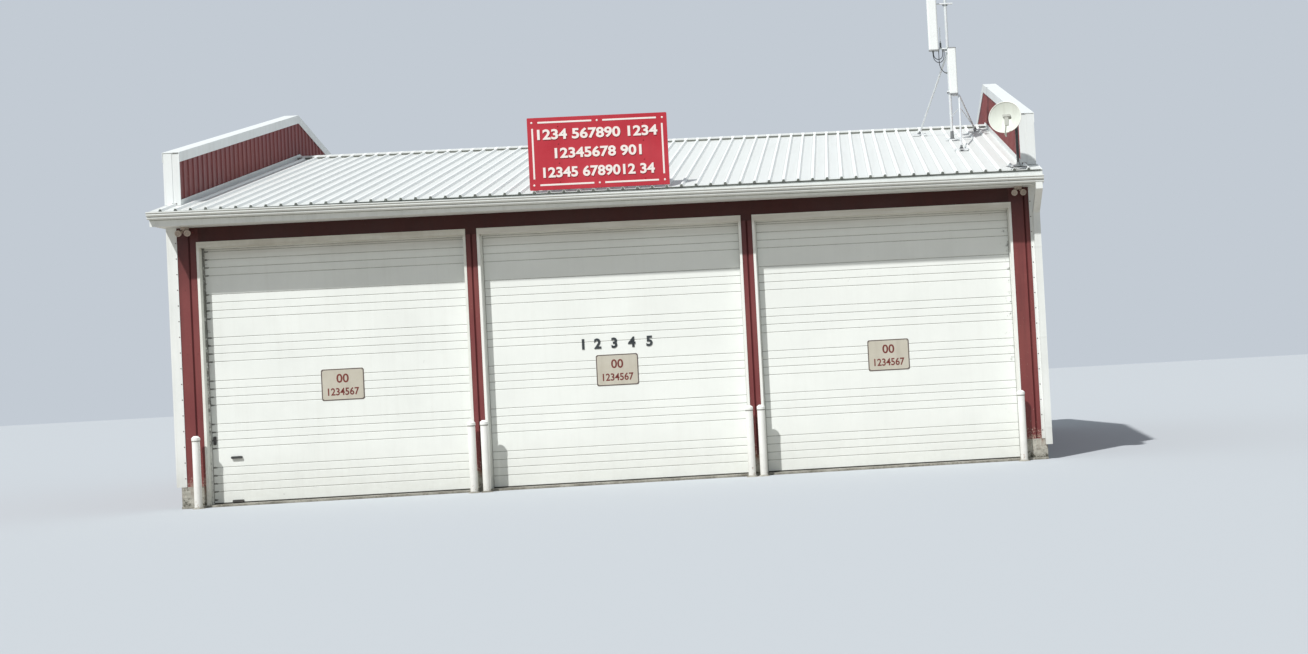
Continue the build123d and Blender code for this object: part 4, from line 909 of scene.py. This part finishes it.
# Gutters and downspouts: thin white aluminium, roll-formed with the stepped front of a house
# gutter, and square pipe held to the corner by strap bands. Overflow has left faint grey runs; thin
# dark strips in the gutter's creases and on the fascia under its foot are painted shade.
gutter_paint = weathered_paint(
    "white_gutter_aluminium", "#EDF1EF", "#E4E8E6", "#9B9990",
    patch=1.6, streaks=0.15, splash=0.5, gloss=0.38, specks=0.15,
)
dress(gutter_paint, "gutter_front", "gutter_rear", "downspouts")
# painted shade: thin dark strips in the gutter's creases and on the fascia under its foot
crease_shade = weathered_paint(
    "painted_shade_in_gutter_creases", "#7F837C", "#969A93", "#5C5D55",
    patch=2.5, streaks=0.3, splash=0.0, gloss=0.8,
)
gutter_half, gutter_top, gutter_fall, gutter_back = 6.175, 4.10735, 0.077, 5.753
crease_places = ((0.104, 0.021, 0.006), (0.079, 0.060, 0.008), (-0.001, 0.099, 0.009))  # out, down, tall
crease_in = 0.002
lane_deep, lane_tall = 0.0022, 0.006
lane = [(0, 0), (lane_deep, 0), (lane_deep, lane_tall), (0, lane_tall)]
run = np.array([2 * gutter_half, 0, -gutter_fall])
run_length = np.linalg.norm(run)
for name, side in (("front", 1), ("rear", -1)):
    rows = [
        (-gutter_half + crease_in, -side * (gutter_back + out), gutter_top - down - tall)
        for out, down, tall in crease_places
    ]
    drawn_out(
        f"gutter_creases_{name}", lane, (0, -side, 0), (0, 0, 1), run / run_length, rows,
        run_length - 2 * crease_in, crease_shade, "grey_plastic",
    )
spout_x, spout_y, spout_wide, spout_deep = 6.107, -5.290, 0.096, 0.072
band_tall, band_sheet, band_arris = 0.028, 0.0018, 0.0008
half_wide, half_deep = spout_wide / 2 + band_sheet, spout_deep / 2 + band_sheet
band_places = [(side * spout_y, z) for side in (1, -1) for z in (0.45, 1.75, 3.05)]
bars(
    "spout_bands",
    [(spout_x - half_wide, y - half_deep, z) for y, z in band_places],
    [(spout_x + half_wide, y + half_deep, z + band_tall) for y, z in band_places],
    gutter_paint, "white_trim", band_arris,
)


# Roof sign: sheet steel in bright red enamel, faded a little unevenly, on two posts that reach
# down to the ribs. A broken white line runs round it, with a dot in each gap and corner, and
# three rows of plain white figures, cut out and raised, stand in the middle.
sign_red = weathered_paint(
    "bright_red_sign_enamel", "#B92D3A", "#C03643", "#832C32", patch=1.8, streaks=0.2, splash=0.0, gloss=0.32
)
sign_white = weathered_paint(
    "white_cut_vinyl", "#F4EEEA", "#EFE7E2", "#C9B9B4", patch=4.0, streaks=0.1, splash=0.0, gloss=0.4
)
dress(sign_red, "sign_board")
sign_low, sign_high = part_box("sign_board")
sign_left, sign_face, sign_bottom = sign_low
sign_right, sign_top = sign_high[0], sign_high[2]
sign_middle = (sign_left + sign_right) / 2
line_wide, line_stand, line_in, line_arris = 0.024, 0.003, 0.069, 0.001
level_runs = [(0.146, 0.890), (1.040, 1.784)]
upright_run = (0.150, 0.856)
levels = (sign_top - line_in, sign_bottom + line_in)
lows, highs = [], []
for level in levels:
    for begin, end in level_runs:
        lows.append((sign_left + begin, sign_face - line_stand, level - line_wide / 2))
        highs.append((sign_left + end, sign_face, level + line_wide / 2))
for middle in (sign_left + line_in, sign_right - line_in):
    lows.append((middle - line_wide / 2, sign_face - line_stand, sign_top - upright_run[1]))
    highs.append((middle + line_wide / 2, sign_face, sign_top - upright_run[0]))
bars("sign_border", lows, highs, sign_white, "white_trim", line_arris)
dot_in = 0.063
dot = turned([(0, 0.0), (0.014, 0.0), (0.014, 0.002), (0.011, 0.004), (0, 0.0045)], 16)
dot_xs = (sign_left + dot_in, sign_middle, sign_right - dot_in)
dots = [(x, sign_face, z) for x in dot_xs for z in levels]
finished("sign_dots", placed(dot, (0, -1, 0), dots), sign_white, "white_trim")
letter_height, letter_stand = 0.150, 0.010
sign_rows = [  # each row's text, how far its middle lies below the top, and its width
    ("1234 567890 1234", 0.239, 1.66), ("12345678 901", 0.504, 1.20), ("12345 6789012 34", 0.770, 1.54)
]
figures(
    "sign_figures",
    [(row, sign_middle, sign_top - down, letter_height, width) for row, down, width in sign_rows],
    sign_face, letter_stand, sign_white, "white_trim", weight=0.03,
)
post_xs, bolt_drops = (-0.572, 0.602), (0.125, 0.37, 0.635, 0.90)
hexagon_head = turned([(0, 0), (0.013, 0), (0.013, 0.002), (0.0085, 0.0025), (0.008, 0.0085), (0, 0.009)], 6)
bolt_places = [(x, sign_face, sign_top - drop) for x in post_xs for drop in bolt_drops]
finished("sign_bolts", placed(hexagon_head, (0, -1, 0), bolt_places), sign_red, "sign_paint")


# Antenna mast and tripod: tube dipped in hot zinc, which has dulled to a pale, nearly white grey
# with a faint spangle. Rubber boots, bleached grey, seal the feet on their plates, which are bolted
# down, and U-bolts with a saddle hold each bar.
galvanised, tree, where = new_finish("hot_dip_galvanised_tube")
# scales in cells per metre: spangles of 14 mm, clouds of 110 mm
spangle = add(tree, "ShaderNodeTexVoronoi", {"Vector": where, "Scale": 70.0}).outputs["Color"]
clouds = add(tree, "ShaderNodeTexNoise", {"Vector": where, "Scale": 9.0, "Detail": 5.0, "Roughness": 0.65})
tone = add(tree, "ShaderNodeMix", {0: clouds, 6: linear("#D0D4D6"), 7: linear("#ECEFF0")}, data_type="RGBA")
tone = add(
    tree, "ShaderNodeMix", {0: 0.15, 6: tone, 7: spangle}, data_type="RGBA", blend_type="SOFT_LIGHT"
)
rough = add(tree, "ShaderNodeMapRange", {"Value": clouds, "To Min": 0.38, "To Max": 0.58})
fill(tree.nodes["Principled BSDF"], {"Base Color": tone, "Metallic": 0.25, "Roughness": rough})
dress(galvanised, "antenna_mast")

mast_x, mast_y = 5.200, -1.906
mast = np.array([mast_x, mast_y, pan_height(mast_y)])
bar_y = mast[1] - 0.034
plate_rise, bolt_off = 0.0309 + 0.008, 0.095  # over a rib's crest and the foot's own plate
mast_foot = mast + (0, 0, plate_rise)
# where each leg's foot and head lie off the mast's place on the pans, and how tall the foot's boot is
legs = [
    ((0.033, -1.416), (0.150, 0, 0.750), 0.09),
    ((-0.492, 0.900), (0, 0, 1.470), 0.05),
    ((0.484, 1.202), (0.150, 0, 0.750), 0.05),
]
mast_radius, leg_radius = 0.024, 0.015
supports = [(mast_foot, (0, 0, 1.0), mast_radius, 0.12)]  # foot, way up, radius and height of the boot
for (dx, dy), head, tall in legs:
    foot = np.array([mast[0] + dx, mast[1] + dy, pan_height(mast[1] + dy, plate_rise)])
    supports.append((foot, mast + head - foot, leg_radius, tall))
boots, bolts = [], []
for foot, direction, radius, tall in supports:
    profile = [
        (0, -0.004), (radius + 0.018, -0.004), (radius + 0.018, 0.003), (radius + 0.007, 0.012),
        (radius + 0.005, tall * 0.55), (radius + 0.004, tall * 0.58), (radius + 0.003, tall),
        (radius - 0.002, tall + 0.003), (0, tall + 0.003),
    ]
    boots.append(placed(turned(profile, 20), direction, foot))
    bolts += [foot + (dx, 0, 0) for dx in (-bolt_off, bolt_off)]
pole_x, pole_y, pole_bolt_off = 5.842, -5.698, 0.09
pole_foot = np.array([pole_x, pole_y, pan_height(pole_y, plate_rise)])
pole_boot = turned([(0, -0.004), (0.05, -0.004), (0.05, 0.005), (0.03, 0.016), (0.025, 0.06), (0, 0.063)], 20)
boots.append(placed(pole_boot, (0, 0, 1), pole_foot))
bolts += [pole_foot + (dx, 0, 0) for dx in (-pole_bolt_off, pole_bolt_off)]
boot_rubber = weathered_paint(
    "bleached_boot_rubber", "#6C7072", "#7B7F81", "#6A665D", patch=5.0, splash=0.0, gloss=0.75, specks=0.2
)
finished("mast_boots", joined(boots), boot_rubber, "dark_steel")
finished("foot_bolts", placed(hexagon_head, roof_ups[0], bolts), galvanised, "galvanised")
clamp_heights = (2.262, 1.520, 1.472, 0.812)
saddle = boxes([(-0.040, -0.005, -0.022)], [(0.040, 0.005, 0.022)])
thread = turned([(0, 0), (0.004, 0), (0.004, 0.082), (0, 0.082)], 8)
nut = turned([(0, 0), (0.0075, 0), (0.0075, 0.006), (0, 0.006)], 6)
saddle_back, thread_off, thread_rise, nut_back = 0.030, 0.031, 0.012, 0.007
clamps = []
for z in (clamp_heights[0], (clamp_heights[1] + clamp_heights[2]) / 2, clamp_heights[3]):
    back = mast + (0, saddle_back, z)
    clamps.append((saddle[0] + back, saddle[1]))
    ends = [
        back + (side * thread_off, thread_rise, up * thread_rise) for side in (-1, 1) for up in (-1, 1)
    ]
    clamps.append(placed(thread, (0, -1, 0), ends))
    clamps.append(placed(nut, (0, 1, 0), [end - (0, nut_back, 0) for end in ends]))
finished("mast_clamps", joined(clamps), dark_steel, "dark_steel")


# Panel antennas: moulded covers of light grey glass-filled plastic, with a darker cap at each end,
# held to their bars by folded steel brackets. A short whip beside them stands in a rubber holder.
radome = weathered_paint(
    "weathered_radome_plastic", "#F1F5F4", "#E9EDEC", "#B4B2A9",
    patch=3.0, streaks=0.1, splash=0.0, gloss=0.5,
)
dress(radome, "panel_antennas")
grey_plastic = weathered_paint(
    "grey_moulded_plastic", "#8F9193", "#9B9D9E", "#6B6962", patch=6.0, splash=0.0, gloss=0.55
)
bar_front = bar_y - 0.013
# each panel's middle off the mast, lower end, width, depth, length and the heights of its two bars
panels = [
    (-0.232, 1.480, 0.162, 0.110, 1.300, clamp_heights[:2]),
    (0.059, 0.758, 0.137, 0.080, 0.765, clamp_heights[2:]),
]
cap_stand, cap_past, cap_tall = 0.0025, 0.002, 0.016
bracket_in, bracket_out, bracket_half, bracket_back, bracket_arris = 0.030, 0.034, 0.024, 0.020, 0.0008
bracket_lows, bracket_highs = [], []
for name, (dx, low, width, depth, tall, bar_heights) in zip(("upper", "lower"), panels):
    outline = rounded_frame(width + 2 * cap_stand, depth + 2 * cap_stand, depth / 4 + cap_stand, 0.0)
    centre = np.array([mast[0] + dx, bar_front - depth / 2, mast[2] + low])
    drawn_out(
        f"panel_caps_{name}", outline, (1, 0, 0), (0, 1, 0), (0, 0, 1),
        [centre - (0, 0, cap_past), centre + (0, 0, tall - cap_tall + cap_past)],
        cap_tall, grey_plastic, "grey_plastic",
    )
    for z in bar_heights:
        for side in (-1, 1):
            near, far = sorted((centre[0] + side * bracket_in, centre[0] + side * bracket_out))
            bracket_lows.append((near, bar_front, mast[2] + z - bracket_half))
            bracket_highs.append((far, bar_y + bracket_back, mast[2] + z + bracket_half))
bars("panel_brackets", bracket_lows, bracket_highs, galvanised, "galvanised", bracket_arris)
whip_left, whip_rise = 0.114, 1.533
whip_foot = np.array([mast[0] - whip_left, bar_y, mast[2] + whip_rise])
holder = turned([
    (0, 0.001), (0.019, 0.001), (0.019, 0.012), (0.0165, 0.016),
    (0.0165, 0.082), (0.012, 0.1), (0.008, 0.112), (0, 0.112),
], 18)
finished("whip_holder", placed(holder, (0, 0, 1), whip_foot), boot_rubber, "dark_steel")


# Jumper cables: three short black coaxial leads, two out of the upper panel's foot and round to its
# lower bar, and one from that bar down to the mast. They are stiff, so each hangs in one loop.
jacket = weathered_paint(
    "black_cable_jacket", "#17181A", "#222326", "#3A3833", patch=9.0, streaks=0.1, splash=0.0, gloss=0.42
)
cable_thickness = 0.012
cable_start = np.array([mast[0], bar_y, mast[2]])
cable_lengths = (0.518, 0.389, 0.442)
routes = [
    [
        (-0.250, -0.088, 1.4797), (-0.250, -0.088, 1.410), (-0.238, -0.080, 1.338), (-0.192, -0.062, 1.290),
        (-0.134, -0.042, 1.286), (-0.084, -0.020, 1.324), (-0.064, -0.005, 1.394), (-0.060, -0.001, 1.454),
        (-0.060, 0.0, 1.5067),
    ],
    [
        (-0.240, -0.048, 1.4797), (-0.240, -0.048, 1.428), (-0.228, -0.045, 1.377), (-0.190, -0.037, 1.344),
        (-0.139, -0.026, 1.342), (-0.098, -0.013, 1.374), (-0.086, -0.005, 1.424), (-0.084, -0.001, 1.465),
        (-0.084, 0.0, 1.5067),
    ],
    [
        (-0.148, 0.0, 1.5067), (-0.148, 0.005, 1.415), (-0.150, 0.010, 1.320), (-0.140, 0.014, 1.230),
        (-0.106, 0.020, 1.165), (-0.062, 0.028, 1.132), (-0.0264, 0.034, 1.124),
    ],
]
gland = turned([
    (0, 0), (0.0125, 0), (0.0125, 0.014), (0.0105, 0.016),
    (0.0098, 0.030), (0.0072, 0.046), (0.0062, 0.048), (0, 0.048),
], 14)
for number, (route, cable_length) in enumerate(zip(routes, cable_lengths), start=1):
    points = cable_start + np.array(route)
    line = bpy.data.curves.new(f"jumper_{number}", "CURVE")
    line.dimensions = "3D"
    spline = line.splines.new("NURBS")
    spline.points.add(len(points) - 1)
    spline.points.foreach_set("co", np.column_stack([points, np.ones(len(points))]).ravel())
    spline.order_u = 3
    spline.use_endpoint_u = True
    line.resolution_u = 10
    line.bevel_depth = cable_thickness / 2
    line.bevel_resolution = 3
    line.materials.append(jacket)
    lead = bpy.data.objects.new(f"jumper_{number}", line)
    scene.collection.objects.link(lead)
    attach(lead, "root")
    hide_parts(f"jumper_cable_{number}")
    glands = finished(
        f"jumper_glands_{number}",
        joined([
            placed(gland, points[1] - points[0], points[0]),
            placed(gland, points[-2] - points[-1], points[-1]),
        ]),
        boot_rubber, "dark_steel",
    )


# Dish: pressed steel, a shallow paraboloid with a rolled rim, in off-white paint that has yellowed
# slightly; the rim is painted lighter, a painted highlight. Its arm carries a grey plastic converter
# with two horns close to the focus.
dish_paint = weathered_paint(
    "off_white_dish_enamel", "#DBE0D7", "#D3D8CE", "#908D80", patch=5.0, streaks=0.25, splash=0.0, gloss=0.4
)
dress(dish_paint, "satellite_dish", "dish_feed")
dress(dark_steel, "dish_pole")
pole_height, hub_drop = 0.760, 0.027
dish_centre = np.array([5.676, -5.808, pan_height(pole_y, pole_height - hub_drop)])
dish_facing = (-0.26, -0.94, 0.22)
dish_radius, dish_sag, dish_sheet, rim_bead, around = 0.235, 0.062, 0.005, 0.006, 72
radii = np.linspace(0, dish_radius - rim_bead, 14)
bowl = np.column_stack([radii, dish_sag * ((radii / dish_radius) ** 2 - 1)])
shell = turned(np.concatenate([bowl, bowl[::-1] - (0, dish_sheet)]), around)
dish = finished("dish", placed(shell, dish_facing, dish_centre), dish_paint, "dish_paint")
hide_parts("satellite_dish")
# painted highlight: the rolled rim is lighter than the bowl
rim_highlight = weathered_paint(
    "dish_enamel_with_painted_rim_highlight", "#F1F2EC", "#E9EAE3", "#A8A598", patch=5.0, streaks=0.1, splash=0.0, gloss=0.35
)
bead_turns = np.radians(np.linspace(0, 360, 13))
bead_radii = dish_radius - rim_bead + rim_bead * np.cos(bead_turns)
bead = turned(np.column_stack([bead_radii, rim_bead * (np.sin(bead_turns) - 0.6)]), around)
finished("dish_rim", placed(bead, dish_facing, dish_centre), rim_highlight, "dish_paint", crease=80)
feed_grey = weathered_paint(
    "light_grey_moulded_plastic", "#A8ABA3", "#B3B6AE", "#7B796F", patch=6.0, splash=0.0, gloss=0.55
)
dish_axes = facing(dish_facing)
feed = dish_centre + dish_axes @ np.array([0.070, -0.086, 0.240])
housing, housing_depth = rounded_frame(0.112, 0.034, 0.010, 0.0), 0.045
stem, stem_depth = rounded_frame(0.056, 0.126, 0.012, 0.0), 0.030
stem_place = feed + dish_axes @ np.array([0, -0.078, 0.006])
drawn_out("feed_housing", housing, *dish_axes.T, [feed], housing_depth, feed_grey, "grey_plastic")
drawn_out("feed_stem", stem, *dish_axes.T, [stem_place], stem_depth, feed_grey, "grey_plastic")
horn = turned([(0, 0.0), (0.024, 0.0), (0.024, 0.012), (0.017, 0.022), (0.017, 0.060), (0, 0.060)], 20)
horn_places = [feed + dish_axes @ np.array([side * 0.033, 0, -0.056]) for side in (-1, 1)]
finished("feed_horns", placed(horn, dish_axes[:, 2], horn_places), feed_grey, "grey_plastic")


# Floodlights under the soffit: twin cast heads in beige paint, each closed by a lens of pressed glass,
# which is fluted and shows the reflector's tone, and held by a thin rim.
lamp_paint = weathered_paint(
    "cast_lamp_housing", "#C3B6AB", "#B1A59A", "#6E675E", patch=9.0, streaks=0.2, splash=0.0, gloss=0.45
)
dress(lamp_paint, "floodlights")
lens_glass, tree, where = new_finish("pressed_lamp_glass")
# at this scale the wave's bands, which are the glass's flutes, stand 5 mm apart
flutes = add(tree, "ShaderNodeTexWave", {"Vector": where, "Scale": 60.0}, bands_direction="X").outputs["Fac"]
tone = add(tree, "ShaderNodeMix", {0: flutes, 6: linear("#988A80"), 7: linear("#B5A79C")}, data_type="RGBA")
bump = add(tree, "ShaderNodeBump", {"Height": flutes, "Strength": 0.5, "Distance": 0.002})
shader = tree.nodes["Principled BSDF"]
fill(shader, {"Base Color": tone, "Roughness": 0.12, "Coat Weight": 0.6, "Normal": bump})
lens = turned([(0, 0.004), (0.015, 0.0035), (0.028, 0.0015), (0.0345, -0.002), (0, -0.004)], 28)
rim = turned([
    (0.0345, -0.004), (0.0345, 0.003), (0.040, 0.006), (0.0448, 0.002), (0.0448, -0.012), (0.0345, -0.004)
], 28)
lamp_x, head_spread, head_back = 5.855, 0.046, 0.110
head_drop, head_lift, head_length = 0.080, 0.088 / 6, 0.095
lenses, rims = [], []
for middle in (-lamp_x, lamp_x):
    for side in (-1, 1):
        rear = np.array([middle + side * head_spread, front_y - head_back, trim_head - head_drop + head_lift])
        aim = np.array([side * 0.019, -head_length, -head_length / 3])
        front = rear + head_length * aim / np.linalg.norm(aim)
        lenses.append(placed(lens, aim, front))
        rims.append(placed(rim, aim, front))
finished("lamp_lenses", joined(lenses), lens_glass, "lamp_housing")
finished("lamp_rims", joined(rims), lamp_paint, "lamp_housing")


# Bollards: steel pipe filled with concrete, in white road paint that is scuffed and chipped, with a
# plastic cap pushed over the top that leaves a dark joint, and a smear of mortar round the foot.
bollard_paint = weathered_paint(
    "white_road_paint", "#FAFCFA", "#F2F4F1", "#A5A198",
    patch=3.0, streaks=0.06, splash=0.5, gloss=0.5, specks=0.08, chips=0.2,
)
dress(bollard_paint, "bollards")
bollard_xs, bollard_out = (-5.813, -2.030, -1.853, 1.855, 2.021, 5.727), 0.150
bollard_feet = [(x, front_y - bollard_out, 0.0) for x in bollard_xs]
joint = turned([
    (0.050, 0.932), (0.0545, 0.932), (0.0555, 0.936), (0.0555, 0.945), (0.0545, 0.9485), (0.050, 0.9485)
], 36)
finished("bollard_joints", placed(joint, (0, 0, 1), bollard_feet), lip_vinyl, "grey_plastic")
mortar = turned([
    (0.050, 0.0), (0.086, 0.0), (0.078, 0.006), (0.062, 0.013), (0.0525, 0.022), (0.050, 0.022)
], 36)
finished("bollard_mortar", placed(mortar, (0, 0, 1), bollard_feet), concrete, "concrete")
